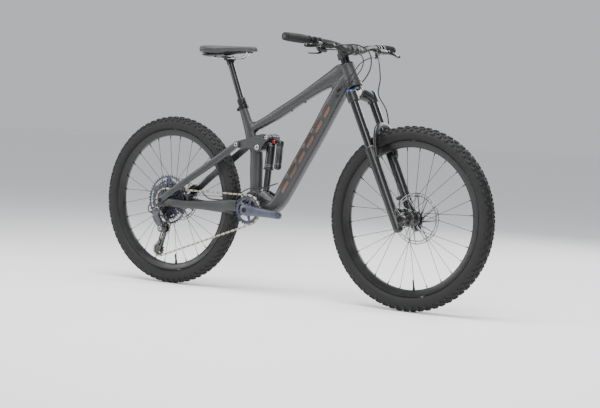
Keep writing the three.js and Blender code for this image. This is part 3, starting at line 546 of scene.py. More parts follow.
fused("frame_moulding", front, fine, 14, CARBON, "main_frame",
      ("head_tube", "top_tube", "down_tube", "seat_tube", "bottom_bracket_shell", "shock_mount"))

cups = Shape()
for side in (-1, 1):
    y0, y1 = sorted((side * 36.4, side * 43.5))
    lathe(cups, [(15.2, y0), (22, y0), (22.5, y0 + 1), (22.5, y1 - 1), (21.5, y1), (15.2, y1)],
          (BRACKET[0], 0, BRACKET[1]), (0, 1, 0), 48, closed=True)
build("bottom_bracket_cups", cups, ANODISED, "main_frame")

headset = Shape()
lathe(headset, [(19, HEAD_BOTTOM - 0.2), (31, HEAD_BOTTOM - 0.2), (32, HEAD_BOTTOM + 0.6),
                (31, HEAD_BOTTOM + 1.6)], fork(0, 0), STEER_UP)
lathe(headset, [(26, HEAD_TOP - 0.6), (28, HEAD_TOP + 0.5), (27.5, HEAD_TOP + 2), (20, HEAD_TOP + 5),
                (18.4, HEAD_TOP + 6)], fork(0, 0), STEER_UP)
build("headset_covers", headset, ANODISED, "main_frame")

# Copper-toned trim bars on both flanks of the down tube, in two shades.
DOWN_AXIS = unit([730 - DOWN_TUBE_FOOT[0], 0, 667.5 - DOWN_TUBE_FOOT[1]])
DOWN_ALONG = np.array([DOWN_AXIS[0], DOWN_AXIS[2]])
DOWN_ACROSS = np.array([-DOWN_AXIS[2], DOWN_AXIS[0]])


def trim_bar(shape, start, end, low, high):
    """A slanted bar on both flanks, between distances up the tube and across it."""
    foot = np.array(DOWN_TUBE_FOOT)
    slant = 0.35
    corners = [foot + DOWN_ALONG * (t + slant * v) + DOWN_ACROSS * v
               for t, v in ((start, low), (end, low), (end, high), (start, high))]
    for y0, y1 in ((-30.0, -28.2), (28.2, 30.0)):
        plate(shape, [rounded(corners, 3)], y0, y1, 0.4)


dark_bars, light_bars = Shape(), Shape()
for start, end in ((-22, 30), (50, 102), (122, 174), (194, 246), (266, 318), (338, 384)):
    trim_bar(dark_bars, start, end, 2, 16)
    trim_bar(light_bars, start, end, -12, 1.6)
build("down_tube_bars_dark", dark_bars, COPPER_DARK, "main_frame")
build("down_tube_bars_light", light_bars, COPPER, "main_frame")

# Bolts in the bosses, and the ports where the cables enter the down tube.
trim = Shape()
for under in UNDER_TOP_TUBE:
    bolt(trim, under + TOP_TUBE_DOWN * 17.3, TOP_TUBE_DOWN, 4.2, 2.4)
for along in (95, 159):
    upper = np.array([DOWN_ACROSS[0], 0, DOWN_ACROSS[1]])
    bolt(trim, np.array([DOWN_TUBE_FOOT[0], 0, DOWN_TUBE_FOOT[1]]) + DOWN_AXIS * along + upper * 30.2, upper,
         4.2, 2.6)
for side, x, z in ((-1, 834, 817), (-1, 836, 840), (1, 838, 823)):
    rod(trim, (x - 6, side * 24, z - 4), (x + 3, side * 33.5, z + 2.5), 7.5, 1, 24, 4.4)
build("bosses_and_cable_ports", trim, ANODISED, "main_frame")

# ---------- seat clamp, dropper post and saddle ----------
clamp = Shape()
lathe(clamp, [(15.7, -14), (20.4, -14), (21, -13), (21, 1), (20.2, 2), (15.7, 2)], on_seat(763), SEAT_UP, 48,
      closed=True)
block(clamp, on_seat(757, -24), (10, 20, 13), tilted(-22.5), 2)
bolt(clamp, on_seat(757, -24) + np.array([0, -10, 0]), (0, -1, 0), 4, 2.2)
build("seat_clamp", clamp, ANODISED, "main_frame")

outer = Shape()
lathe(outer, [(13.9, 610 - 758), (15.4, 610 - 758), (15.4, 10), (17.6, 13), (18.5, 15), (18.5, 34),
              (17.4, 37.2), (14.6, 37.6), (13.9, 36)], on_seat(758), SEAT_UP, 48, closed=True)
build("dropper_tube_and_collar", outer, ANODISED, "main_frame", ("dropper_outer",))

inner = Shape()
rod(inner, on_seat(752), on_seat(944), 13.4, 1, 48)
build("dropper_stanchion", inner, STANCHION, "seatpost", ("seatpost_stanchion",))

rails = Shape()
route = [(172, 26, 981), (184, 26, 974), (198, 25, 966), (220, 23.5, 960), (266, 22, 958), (321, 20, 958),
         (345, 15, 962), (362, 10, 973), (370, 9, 984)]
tube(rails, route, 3.5, 14)
rails.mirror()
build("saddle_rail_wires", rails, BRIGHT, "seatpost", ("saddle_rails",))

head = Shape()
lathe(head, [(13.6, 0), (16.2, 1), (16.2, 14), (14, 18)], on_seat(934), SEAT_UP, 36)
block(head, (273, 0, 954), (40, 34, 6), tilted(-3), 2)
block(head, (273, 0, 961), (44, 56, 8), tilted(-3), 2.4)
for x in (258, 290):
    rod(head, (x, 0, 944), (x - 1, 0, 968), 3, 0.5)
for side in (-1, 1):
    disc(head, 272, 957, 9, *sorted((side * 26, side * 30)), 1.5)
build("saddle_clamp", head, ANODISED, "seatpost")


def saddle_skin():
    """The padded top: broad wings behind, a waist and a slim nose, with a shallow channel."""
    rows = smooth_path([(147, 994, 36, 1006, 981), (155, 993, 56, 1009, 973), (172, 991, 68, 1010.5, 971.5),
                        (197, 990, 70, 1010.5, 971), (222, 990, 63, 1010, 971.5), (246, 991, 50, 1009.5, 973),
                        (271, 992, 39, 1009, 978), (297, 993, 31, 1008.5, 981), (327, 993, 24.5, 1008, 983),
                        (366, 993, 20, 1007.5, 984), (394, 993, 17, 1006.5, 984), (406, 992, 12, 1003, 985),
                        (411, 991, 6, 997, 987)], 5)
    rings = []
    for x, mid, half, top, low in rows:
        ring = []
        for k in range(44):
            turn = 2 * math.pi * k / 44
            c, s = math.cos(turn), math.sin(turn)
            y = half * math.copysign(abs(c) ** 0.7, c)
            if s > 0:
                crown = (top - mid) * abs(s) ** 0.55
                dish = 3.2 * math.exp(-(y / 7.5) ** 2) if 170 < x < 375 else 0
                z = mid + crown - dish * min(1.0, half / 24)
            else:
                z = mid - (mid - low) * abs(s) ** 0.8 + 6 * (1 - abs(c)) * (half / 70)
            ring.append((x, y, z))
        rings.append(ring)
    return rings


seat = Shape()
skin(seat, saddle_skin())
saddle_top = build("saddle_padding", seat, COVER, "seatpost", ("saddle",), sharp=60)
bumper = Shape()
for side in (-1, 1):
    tube(bumper, [(151, side * 40, 994), (161, side * 59, 992.5), (179, side * 69.4, 990),
                  (201, side * 68.6, 990), (227, side * 59.4, 990), (257, side * 44.4, 991.5)],
         [0.8, 1.5, 1.8, 1.7, 1.4, 0.7], 10)
loft(bumper, [(160, 0, 972.5, 44, 3.5), (178, 0, 969.5, 56, 6.5), (205, 0, 969.5, 54, 6.5),
              (240, 0, 972.2, 38, 4.2), (290, 0, 979, 22, 4), (340, 0, 981.4, 15, 3.4),
              (385, 0, 982.6, 11, 2.6)], sides=32, square=0.7)
build("saddle_base_and_piping", bumper, PLASTIC, "seatpost")

# ---------- rear suspension ----------
stays = Shape()
loft(stays, [
    (6, -77.7, 352, 3.1, 15), (22, -77.6, 350, 3.1, 17), (60, -75.6, 346, 6, 17), (120, -66, 343, 8, 16),
    (200, -57, 345, 9, 18), (290, -50, 347, 9, 25), (340, -47.5, 351, 9.5, 26), (372, -44, 354, 9, 22),
], square=0.72)
plate(stays, [rounded([(-22, 335), (-20, 368), (0, 375), (26, 370), (26, 333), (4, 318), (-14, 318)], 9)],
      -80.8, -74.5, 1)
plate(stays, [rounded([(358, 332), (358, 378), (380, 379), (424, 414), (437, 420), (450, 415), (454, 402),
                       (448, 389), (437, 385), (418, 383), (390, 350), (384, 332)], 8)], -42, -30, 1.5)
stays.mirror()
block(stays, (372.5, 0, 355), (21, 66, 38), bevel=4)
fused("chainstay_moulding", stays, fine, 10, CARBON, "chainstay",
      ("chainstay_left", "chainstay_right", "chainstay_yoke"))

for side, name in SIDES:
    stay = Shape()
    loft(stay, [(2, -84.8, 356, 3.1, 13), (24, -84.8, 371, 3.1, 14), (50, -84.4, 390, 3.4, 14),
                (105, -75, 428, 7, 14), (160, -64, 467, 8, 15), (250, -54, 527, 8, 16),
                (325, -48.5, 579, 5.5, 15), (361, -47.8, 604, 4, 13)], square=0.72)
    disc(stay, 0, TYRE_RADIUS, 14.5, -88, -81.6, 1.5)
    disc(stay, *STAY_PIVOT, 14, -51.8, -43.8, 1.5)
    if side > 0:
        stay = stay.flipped()
    fused(f"seatstay_moulding_{name}", stay, fine, 6, CARBON, "seatstay", (f"seatstay_{name}",))

rocker_edge = rounded([(347, 604), (352, 616), (361, 619), (405, 631), (465, 649), (488, 653.5), (508, 651),
                       (517, 640), (514, 628), (500, 621), (487, 603), (475, 584), (458, 579), (436, 587),
                       (427, 591), (366, 590.5), (352, 593)], 11, 5)
window = rounded([(486, 640), (497, 645), (499, 640), (488, 634)], 2.4)
for side, name in SIDES:
    rocker = Shape()
    plate(rocker, [rocker_edge, window], -42.5, -34, 2.0)
    disc(rocker, *SHOCK_TOP, 11, -34.5, -13, 1)
    if side > 0:
        rocker = rocker.flipped()
    build(f"rocker_plate_{name}", rocker, CARBON, "rocker", (f"rocker_{name}",), slot="black_anodised")
    bolts = Shape()
    for centre, radius in ((STAY_PIVOT, 8.5), (ROCKER_PIVOT, 10.5), (SHOCK_TOP, 7.5)):
        edge = 51.6 if centre is STAY_PIVOT else 42.3
        disc(bolts, *centre, radius, -edge - 2.2, -edge + 3, 0.8)
        bolt(bolts, (centre[0], -edge - 2.1, centre[1]), (0, -1, 0), radius * 0.62, 1.2)
    if side > 0:
        bolts = bolts.flipped()
    build(f"rocker_bolts_{name}", bolts, BRIGHT if side < 0 else ANODISED, "rocker",
          ("rocker_axle",) if side < 0 else (), slot="steel")
    main_bolt = Shape()
    disc(main_bolt, *MAIN_PIVOT, 11, -45, -41, 1)
    bolt(main_bolt, (MAIN_PIVOT[0], -44.6, MAIN_PIVOT[1]), (0, -1, 0), 7, 1.6)
    if side > 0:
        main_bolt = main_bolt.flipped()
    build(f"main_pivot_bolt_{name}", main_bolt, ANODISED, "chainstay")

axle = Shape()
rod(axle, (0, -89, TYRE_RADIUS), (0, 89, TYRE_RADIUS), 7.4, 1, 32)
lathe(axle, [(9.0, -89), (9.6, -88.3), (9.6, -86)], (0, 0, TYRE_RADIUS), ACROSS, 32)
bolt(axle, (0, -88.6, TYRE_RADIUS), (0, -1, 0), 6, 1.4)
build("rear_thru_axle", axle, ANODISED, "chainstay", ("rear_axle",))

# ---------- shock ----------
shaft = Shape()
disc(shaft, *SHOCK_FOOT, 12, -12.3, 12.3, 1, 40)
rod(shaft, on_shock(6), on_shock(22), 12.5, 1, 36, 13.8)
rod(shaft, on_shock(20), on_shock(119), 13.8, 0.6, 48)
build("shock_sleeve", shaft, STANCHION, "shock_shaft", ("shock_shaft",))
lug = Shape()
lug_edge = rounded([(476, 400), (475, 412), (482, 420), (493, 419), (512, 404), (534, 392), (531, 382),
                    (500, 388)], 5)
for side in (-1, 1):
    plate(lug, [lug_edge], *sorted((side * 22.6, side * 24.6)), 0.5)
    disc(lug, *SHOCK_FOOT, 8, *sorted((side * 24.2, side * 26.6)), 0.8)
    bolt(lug, (SHOCK_FOOT[0], side * 26.4, SHOCK_FOOT[1]), (0, side, 0), 5, 1.4)
build("shock_lower_hardware", lug, PEWTER, "main_frame")

can = Shape()
lathe(can, [(14.2, 98), (20.5, 98), (21.5, 99), (21.5, 104.5), (18.4, 106), (18, 110), (18, 200), (16, 208),
            (11, 212), (11, 222)], on_shock(0), SHOCK_UP, 48)
disc(can, *SHOCK_TOP, 13, -12.3, 12.3, 1, 40)
loft(can, placed(on_shock, [(208, 0, 11, 9), (214, 14, 10, 10), (215, 30, 10, 10), (214, 46, 11, 9)]),
     sides=20)
lathe(can, [(13.5, 108), (15, 110), (15, 124), (14.4, 125), (14.4, 196), (15, 197), (15, 219), (13, 222)],
      on_shock(0, 44), SHOCK_UP, 40)
build("shock_can_and_reservoir", can, FORK_BLACK, "shock_body", ("shock_body",))
knobs = Shape()
lathe(knobs, [(6.2, 0), (6.8, 1), (6.8, 6), (5.6, 7.4)], on_shock(216, 22, -12), (0, -1, 0), 20)
build("shock_adjuster_knob", knobs, RED, "shock_body")
bands = Shape()
lathe(bands, [(9, 0), (9.4, 0.8), (9.4, 4), (8, 5)], on_shock(108.4, 44), -SHOCK_UP, 28)
for t, radius, ahead in ((112, 18.3, 0), (118, 18.3, 0), (196, 18.3, 0), (127, 14.9, 44), (193, 14.9, 44)):
    lathe(bands, [(radius - 1, 0), (radius, 0.4), (radius, 2.6), (radius - 1, 3)], on_shock(t, ahead),
          SHOCK_UP, 40)
for y in (-9.5, 9.5):
    bolt(bands, on_shock(210, 36, y), (0, math.copysign(1, y), 0), 3.2, 1.6)
rod(bands, on_shock(206, 4, -16), on_shock(206, 4, -19.5), 5.6, 0.8, 24)
build("shock_bands_and_screws", bands, PEWTER, "shock_body")


# ---------- wheels ----------
def tyre_profile():
    across = [math.radians(a) for a in range(-124, 125, 8)]
    outside = [(TYRE_SECTION + 29.3 * math.cos(a), 30.4 * math.sin(a)) for a in across]
    inside = [(TYRE_SECTION + 25.5 * math.cos(a), 26.6 * math.sin(a)) for a in across[::-1]]
    bead = [(300.5, 17), (299.6, 15), (301, 13.6)]
    return outside + bead + inside + [(r, -y) for r, y in bead[::-1]]


def knob(shape, centre, turn, across, size, height, skew=0.0):
    """A tapered tread block standing on the tyre at an angle round the wheel and across the tread."""
    out = np.array([math.sin(turn), 0, math.cos(turn)])
    forward = np.array([math.cos(turn), 0, -math.sin(turn)])
    normal = out * math.cos(across) + np.array([0, 1, 0]) * math.sin(across)
    sideways = np.array([0, 1, 0]) * math.cos(across) - out * math.sin(across)
    crest = TYRE_SECTION + 28.7 * math.cos(across)
    foot = np.asarray(centre) + out * crest + np.array([0, 29.8 * math.sin(across), 0])
    f = forward * math.cos(skew) + sideways * math.sin(skew)
    s = sideways * math.cos(skew) - forward * math.sin(skew)
    length, width = size
    verts = []
    for level, scale in ((0.0, 1.0), (height - 0.5, 0.84), (height, 0.72)):
        for i, j in ((-1, -1), (1, -1), (1, 1), (-1, 1)):
            verts.append(foot + normal * level + f * (i * length / 2 * scale) + s * (j * width / 2 * scale))
    faces = [(3, 2, 1, 0), (8, 9, 10, 11)]
    for base in (0, 4):
        for k in range(4):
            faces.append((base + k, base + (k + 1) % 4, base + 4 + (k + 1) % 4, base + 4 + k))
    shape.add(verts, faces)


def tyre(end, x):
    casing = Shape()
    centre = (x, 0, TYRE_RADIUS)
    lathe(casing, tyre_profile(), centre, ACROSS, 128, closed=True)
    for side in (-1, 1):
        for r, y in ((304.6, 21.4), (309.4, 26.2)):
            lathe(casing, [(r - 0.8, side * y), (r, side * (y + 1.0)), (r + 0.8, side * y),
                           (r, side * (y - 1.0))], centre, ACROSS, 96, closed=True)
    rows = 68
    for row in range(rows):
        turn = 2 * math.pi * row / rows
        half = math.pi / rows
        if row % 2:
            for side in (-1, 1):
                knob(casing, centre, turn, side * 0.16, (16, 8.5), 4.6, side * 0.2)
        else:
            for side in (-1, 1):
                knob(casing, centre, turn, side * 0.27, (13, 8), 4.6, side * 0.12)
        for side in (-1, 1):
            knob(casing, centre, turn + half, side * 0.60, (14, 9.5), 4.6, side * 0.28)
            knob(casing, centre, turn, side * 0.93, (17 if row % 2 else 13, 11), 5.0, -side * 0.1)
    build(f"{end}_tyre_tread", casing, TYRE, f"{end}_wheel", (f"{end}_tyre",), sharp=30)


def rim(end, x):
    centre = (x, 0, TYRE_RADIUS)
    hoop = Shape()
    lathe(hoop, [(271.8, -7), (273, -10.5), (282, -15.4), (297.6, -17.2), (299, -16.4), (299, -14.4),
                 (295, -13.4), (288, -11), (286, 0), (288, 11), (295, 13.4), (299, 14.4), (299, 16.4),
                 (297.6, 17.2), (282, 15.4), (273, 10.5), (271.8, 7), (271, 0)], centre, ACROSS, 128,
          closed=True)
    build(f"{end}_rim_hoop", hoop, RIM, f"{end}_wheel", (f"{end}_rim",))
    valve = Shape()
    turn = math.radians(174)
    out = np.array([math.sin(turn), 0, math.cos(turn)])
    foot = np.asarray(centre, float)
    rod(valve, foot + out * 271.5, foot + out * 266, 4.6, 0.6)
    rod(valve, foot + out * 267, foot + out * 238, 3.0, 0.3, 20, 2.8)
    rod(valve, foot + out * 246, foot + out * 232, 3.6, 0.6, 16, 3.0)
    build(f"{end}_valve", valve, ANODISED, f"{end}_wheel")


def hub(end, x, profile, flanges):
    centre = (x, 0, TYRE_RADIUS)
    shell = Shape()
    lathe(shell, profile, centre, ACROSS, 56, closed=True)
    wires = Shape()
    nipples = Shape()
    for i in range(SPOKES):
        on_left = i % 2
        lean = 1 if i % 4 < 2 else -1
        flange = flanges[on_left] + 1.5 * lean
        rim_turn = 2 * math.pi * (i + 0.5) / SPOKES
        hub_turn = rim_turn + lean * 1.25

        def at(radius, turn, y):
            return np.array([x + radius * math.sin(turn), y, TYRE_RADIUS + radius * math.cos(turn)])
        start, end_point = at(26, hub_turn, flange), at(272, rim_turn, 4 if on_left else -4)
        rod(wires, start, end_point, 1.0, 0.1, 8)
        rod(wires, start - np.array([0, 3.2 * lean, 0]), start + np.array([0, 1.2 * lean, 0]), 1.9, 0.3, 8)
        along = unit(end_point - start)
        rod(nipples, end_point - along * 13, end_point, 2.0, 0.3, 8, 2.4)
    build(f"{end}_hub_shell", shell, HUB, f"{end}_wheel", (f"{end}_hub_and_spokes",))
    build(f"{end}_spoke_wires", wires, SPOKE, f"{end}_wheel")
    build(f"{end}_spoke_nipples", nipples, ANODISED, f"{end}_wheel")


def rotor(end, x, y, radius):
    centre = (x, TYRE_RADIUS)
    made = Shape()
    edge = []
    waves = 12
    for k in range(192):
        turn = 2 * math.pi * k / 192
        r = radius - 1.1 * (0.5 - 0.5 * math.cos(waves * turn)) ** 2
        edge.append(polar(centre, r, turn))
    inner = []
    for k in range(144):
        turn = 2 * math.pi * k / 144
        r = radius - 15.5 - 1.3 * math.cos(waves * turn)
        inner.append(polar(centre, r, turn))
    holes = []
    slots = 24
    for k in range(slots):
        middle = 2 * math.pi * (k + 0.5) / slots
        reach = math.pi / slots - 0.022
        outline = [(radius - 4.6, t) for t in np.linspace(-reach, reach, 7)]
        outline += [(radius - 10.2, t + 0.03) for t in np.linspace(reach, -reach, 7)]
        holes.append([polar(centre, r, middle + t) for r, t in outline])
    plate(made, [edge, inner] + holes, y - 0.9, y + 0.9, 0.15)
    for k in range(12):
        turn = 2 * math.pi * k / 12
        swing = 0.50
        foot = np.array([math.cos(turn), math.sin(turn)]) * 24
        tip = np.array([math.cos(turn + swing), math.sin(turn + swing)]) * (radius - 13)
        n = unit([foot[1] - tip[1], tip[0] - foot[0]])
        corners = [foot - n * 3.2, tip - n * 2.4, tip + n * 2.4, foot + n * 3.2]
        plate(made, [[(centre[0] + c[0], centre[1] + c[1]) for c in corners]], y - 0.85, y + 0.85, 0.15)
    build(f"{end}_brake_disc", made, ROTOR, f"{end}_wheel", (f"{end}_rotor",))
    carrier = Shape()
    plate(carrier, [circle(*centre, 27, 48), circle(*centre, 15, 36)], y - 1.6, y + 1.4, 0.3)
    for k in range(6):
        turn = 2 * math.pi * k / 6
        bolt(carrier, (centre[0] + 21 * math.cos(turn), y + 1.2, centre[1] + 21 * math.sin(turn)), ACROSS,
             3.4, 1.8)
    build(f"{end}_disc_carrier", carrier, ANODISED, f"{end}_wheel")


front_hub = [(8.4, -54.3), (11.4, -54.3), (12.4, -52), (13, -34), (16, -28), (27.6, -26), (29, -25),
             (29, -22.4), (27.6, -21), (17, -19), (13.4, -13), (12.6, 0), (13.4, 13), (17, 19), (27.6, 21),
             (29, 22.4), (29, 25), (27.6, 26), (20, 28), (19, 42.5), (13, 43), (12, 54.3), (8.4, 54.3)]
rear_hub = [(9, -27), (24, -26.6), (27.6, -25), (29, -24), (29, -21.4), (27.6, -20), (18, -18), (14.6, -12),
            (14, 3), (14.6, 18), (18, 24), (27.6, 27), (29, 28.4), (29, 31), (27.6, 32), (20, 34), (19, 53),
            (13, 53.6), (12, 73.6), (9, 73.6)]
for end, x, profile, flanges, disc_y, disc_radius in (
        ("rear", 0, rear_hub, (-22.5, 29.5), *REAR_DISC),
        ("front", FRONT_AXLE[0], front_hub, (-23.5, 23.5), *FRONT_DISC)):
    tyre(end, x)
    rim(end, x)
    hub(end, x, profile, flanges)
    rotor(end, x, disc_y, disc_radius)


# ---------- drivetrain ----------
def chain_wheels():
    return [(0, TYRE_RADIUS, COG_PITCH, 1), (*BRACKET, CHAINRING_PITCH, 1),
            (*LOWER_PULLEY, LOWER_PULLEY_PITCH, 1), (*UPPER_PULLEY, UPPER_PULLEY_PITCH, -1)]


def chain_path():
    """The chain's centre line as (point, heading) samplers by length, and each wheel's stretch."""
    wheels = chain_wheels()

    def heading(a, b):
        dx, dz = b[0] - a[0], b[1] - a[1]
        return math.atan2(dz, dx) - math.asin((a[3] * a[2] - b[3] * b[2]) / math.hypot(dx, dz))
    pieces = []
    at = 0.0
    for i, w in enumerate(wheels):
        before, after = heading(wheels[i - 1], w), heading(w, wheels[(i + 1) % 4])
        start = before + w[3] * math.pi / 2
        sweep = after - before
        while w[3] * sweep > 0:
            sweep -= w[3] * 2 * math.pi
        length = abs(sweep) * w[2]
        pieces.append(("arc", at, length, w, start, sweep))
        at += length
        nxt = wheels[(i + 1) % 4]
        a = polar(w, w[2], start + sweep)
        turn = after + nxt[3] * math.pi / 2
        b = polar(nxt, nxt[2], turn)
        length = math.dist(a, b)
        pieces.append(("run", at, length, a, b, None))
        at += length
    return pieces, at


CHAIN_PIECES, CHAIN_LENGTH = chain_path()
LINKS = 2 * round(CHAIN_LENGTH / 25.4)
LINK = CHAIN_LENGTH / LINKS


def chain_point(s):
    s %= CHAIN_LENGTH
    for kind, at, length, a, b, sweep in CHAIN_PIECES:
        if at <= s <= at + length:
            t = (s - at) / length
            if kind == "run":
                return a[0] + (b[0] - a[0]) * t, a[1] + (b[1] - a[1]) * t
            turn = b + sweep * t
            return polar(a, a[2], turn)
    return chain_point(s + 0.001)


def first_pin(wheel_number):
    """The angle of the first chain pin on a wheel."""
    _, at, _, wheel, _, _ = CHAIN_PIECES[2 * wheel_number]
    x, z = chain_point(math.ceil(at / LINK + 0.5) * LINK)
    return math.atan2(z - wheel[1], x - wheel[0])


def toothed(centre, teeth, pitch, phase, root=4.0, tip=3.4):
    """A toothed outline whose valleys hold the chain's rollers."""
    out = []
    for k in range(teeth):
        at = phase + 2 * math.pi * k / teeth
        step = 2 * math.pi / teeth
        for part, depth in ((-0.16, -root), (0.0, -root - 0.4), (0.16, -root), (0.30, -0.6),
                            (0.43, tip * 0.8), (0.5, tip), (0.57, tip * 0.8), (0.70, -0.6)):
            angle = at + part * step
            out.append(polar(centre, pitch + depth, angle))
    return out


# The chain is made in four lengths, which meet where both ends would follow the same body; no length is hung
# on a body.
RING_MIDDLE = CHAIN_PIECES[2][1] + CHAIN_PIECES[2][2] / 2
_, RUN_START, RUN_LENGTH, RUN_FRONT, RUN_BACK, _ = CHAIN_PIECES[3]
SPLIT_X = 220
RUN_SPLIT = RUN_START + RUN_LENGTH * (RUN_FRONT[0] - SPLIT_X) / (RUN_FRONT[0] - RUN_BACK[0])
CHAIN_SECTIONS = (
    ("upper", RING_MIDDLE, "main_frame", "chainstay", (400, 0), (70, 0)),
    ("lower", RUN_SPLIT, "main_frame", "chainstay", (400, 0), (SPLIT_X + 5, 0)),
    ("cage", CHAIN_PIECES[7][1], "chainstay", "derailleur_cage", (SPLIT_X - 5, 0), (20, 0)),
    ("hanger", CHAIN_LENGTH, "chainstay", "derailleur_cage", (0, 308), (0, 256)),
)
outer_links = {section[0]: Shape() for section in CHAIN_SECTIONS}
inner_links = {section[0]: Shape() for section in CHAIN_SECTIONS}
for k in range(LINKS):
    section = next(name for name, end, *_ in CHAIN_SECTIONS if k * LINK < end)
    links = (outer_links if k % 2 else inner_links)[section]
    (ax, az), (bx, bz) = chain_point(k * LINK), chain_point((k + 1) * LINK)
    mx, mz = (ax + bx) / 2, (az + bz) / 2
    d = unit([bx - ax, bz - az])
    n = np.array([-d[1], d[0]])
    outline = []
    for end_sign in (1, -1):
        ex, ez = (bx, bz) if end_sign > 0 else (ax, az)
        for j in range(9):
            a = math.radians(-100 + 25 * j)
            v = (d * math.cos(a) * end_sign + n * math.sin(a) * end_sign) * 4.0
            outline.append((ex + v[0], ez + v[1]))
        outline.append((mx + n[0] * 3.0 * end_sign, mz + n[1] * 3.0 * end_sign))
    y_near, y_far = (2.0, 3.0) if k % 2 else (1.1, 2.0)
    for y0, y1 in ((CHAIN_PLANE - y_far, CHAIN_PLANE - y_near), (CHAIN_PLANE + y_near, CHAIN_PLANE + y_far)):
        plate(links, [outline], y0, y1, 0.2)
    disc(links, ax, az, 3.8, CHAIN_PLANE - 1.1, CHAIN_PLANE + 1.1, 0.2, 12)
    disc(links, ax, az, 1.8, CHAIN_PLANE - 3.2, CHAIN_PLANE + 3.2, 0.2, 10)
for kind, lengths, look in (("outer", outer_links, CHAIN), ("inner", inner_links, CHAIN_DARK)):
    for name, _, body, other, start, end in CHAIN_SECTIONS:
        chain = build(f"chain_{kind}_links_{name}", lengths[name], look, None, ("drive_chain",))
        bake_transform(chain)

ring = Shape()
plate(ring, [toothed(BRACKET, 30, CHAINRING_PITCH, first_pin(1)), circle(*BRACKET, 48.5, 72)],
      CHAIN_PLANE - 0.95, CHAIN_PLANE + 0.95, 0.25)
build("chainring_teeth", ring, COG, "crank", ("chainring",))

spider = Shape()
outlines = [circle(*BRACKET, 50.5, 72), circle(*BRACKET, 15.5, 36)]
for k in range(5):
    middle = CRANK_ANGLE + math.pi / 5 + 2 * math.pi * k / 5
    wide_in, wide_out = 0.38, 0.52
    hole = []
    for t in np.linspace(-1, 1, 9):
        a = middle + wide_out * t
        hole.append(polar(BRACKET, 44.5, a))
    for t in np.linspace(1, -1, 5):
        a = middle + wide_in * t
        hole.append(polar(BRACKET, 26, a))
    outlines.append(rounded(hole, 3, 2))
plate(spider, outlines, CHAIN_PLANE - 2.6, CHAIN_PLANE + 1.6, 0.7)
lathe(spider, [(15.3, -63.5), (23, -63.5), (24, -62.5), (25, CHAIN_PLANE - 2), (25, CHAIN_PLANE + 3),
               (15.3, CHAIN_PLANE + 3)], (BRACKET[0], 0, BRACKET[1]), ACROSS, 48, closed=True)
build("chainring_spider", spider, CRANK, "crank")


def crank_arm(side, name):
    turn = CRANK_ANGLE if side < 0 else CRANK_ANGLE + math.pi
    d = np.array([math.cos(turn), math.sin(turn)])

    def at(r, y):
        return BRACKET[0] + r * d[0], side * y, BRACKET[1] + r * d[1]
    arm = Shape()
    loft(arm, [(*at(-23, 66), 4, 10), (*at(-20, 66), 6.5, 16), (*at(-6, 66), 8, 22), (*at(14, 66.5), 8, 22.5),
               (*at(34, 68), 7.5, 20), (*at(60, 69.5), 7, 18.4), (*at(100, 72.6), 6.8, 16.8),
               (*at(140, 76), 6.5, 15.6), (*at(CRANK_LENGTH, 77.5), 6.4, 15.2),
               (*at(CRANK_LENGTH + 9, 77.5), 6, 12.5), (*at(CRANK_LENGTH + 13, 77.5), 5, 6.5)], sides=32,
         square=0.6)
    build(f"crank_arm_body_{name}", arm, CRANK, "crank", (f"crank_arm_{name}",), sharp=50)
    x, _, z = at(CRANK_LENGTH, 0)
    fittings = Shape()
    lathe(fittings, [(7.1, -5), (7.1, 6), (8, 6.9), (9.6, 6.9), (10.2, 6.2), (10.2, -5)], (x, side * 77.5, z),
          (0, side, 0), 36, closed=True)
    lathe(fittings, [(0.01, 70.6), (5.0, 70.6), (5.4, 72.4), (9.4, 73.2), (10.2, 74.2), (10.2, 75.4),
                     (9.4, 76.0), (5.6, 75.8), (5.0, 74.6), (0.01, 74.4)], (BRACKET[0], 0, BRACKET[1]),
          (0, side, 0), 40)
    build(f"crank_fittings_{name}", fittings, ANODISED, "crank")
    bore = Shape()
    disc(bore, x, z, 7.0, *sorted((side * 70.5, side * 83.2)), 0.3, 30)
    build(f"crank_pedal_thread_{name}", bore, PLASTIC, "crank", slot="black_anodised")


crank_arm(-1, "right")
crank_arm(1, "left")
spindle = Shape()
rod(spindle, (BRACKET[0], -66, BRACKET[1]), (BRACKET[0], 66, BRACKET[1]), 14.6, 0.5, 40)
build("crank_spindle", spindle, ANODISED, "crank")

cogs = Shape()
COG_PHASE = first_pin(0)
for i, teeth in enumerate(COG_TEETH):
    y = CHAIN_PLANE - (i - 5) * COG_SPACING
    pitch = 6.35 / math.sin(math.pi / teeth)
    phase = COG_PHASE if i == 5 else 0.7 * i
    outlines = [toothed((0, TYRE_RADIUS), teeth, pitch, phase, 4.0, 3.0)]
    if teeth >= 24:
        outlines.append(circle(0, TYRE_RADIUS, 26 if teeth > 28 else 22, 36))
        arms = 6
        outer_r, inner_r = pitch - 10.5, 30 if teeth > 28 else 26
        if outer_r - inner_r > 6:
            for k in range(arms):
                middle = phase + 2 * math.pi * k / arms
                hole = [(outer_r * math.cos(middle + 0.40 * t),
                         TYRE_RADIUS + outer_r * math.sin(middle + 0.40 * t)) for t in np.linspace(-1, 1, 9)]
                hole += [(inner_r * math.cos(middle + 0.12 + 0.34 * t),
                          TYRE_RADIUS + inner_r * math.sin(middle + 0.12 + 0.34 * t))
                         for t in np.linspace(1, -1, 5)]
                outlines.append(rounded(hole, 3, 2))
    else:
        outlines.append(circle(0, TYRE_RADIUS, 12, 36))
    plate(cogs, outlines, y - 0.8, y + 0.8, 0.2)
build("cassette_cogs", cogs, COG, "cassette", ("cassette",), slot="chain_steel")
core = Shape()
lathe(core, [(9, -28.5), (27, -28.5), (27, -49), (21, -52), (17.5, -70.5), (17, -73), (9, -73)],
      (0, 0, TYRE_RADIUS), ACROSS, 48, closed=True)
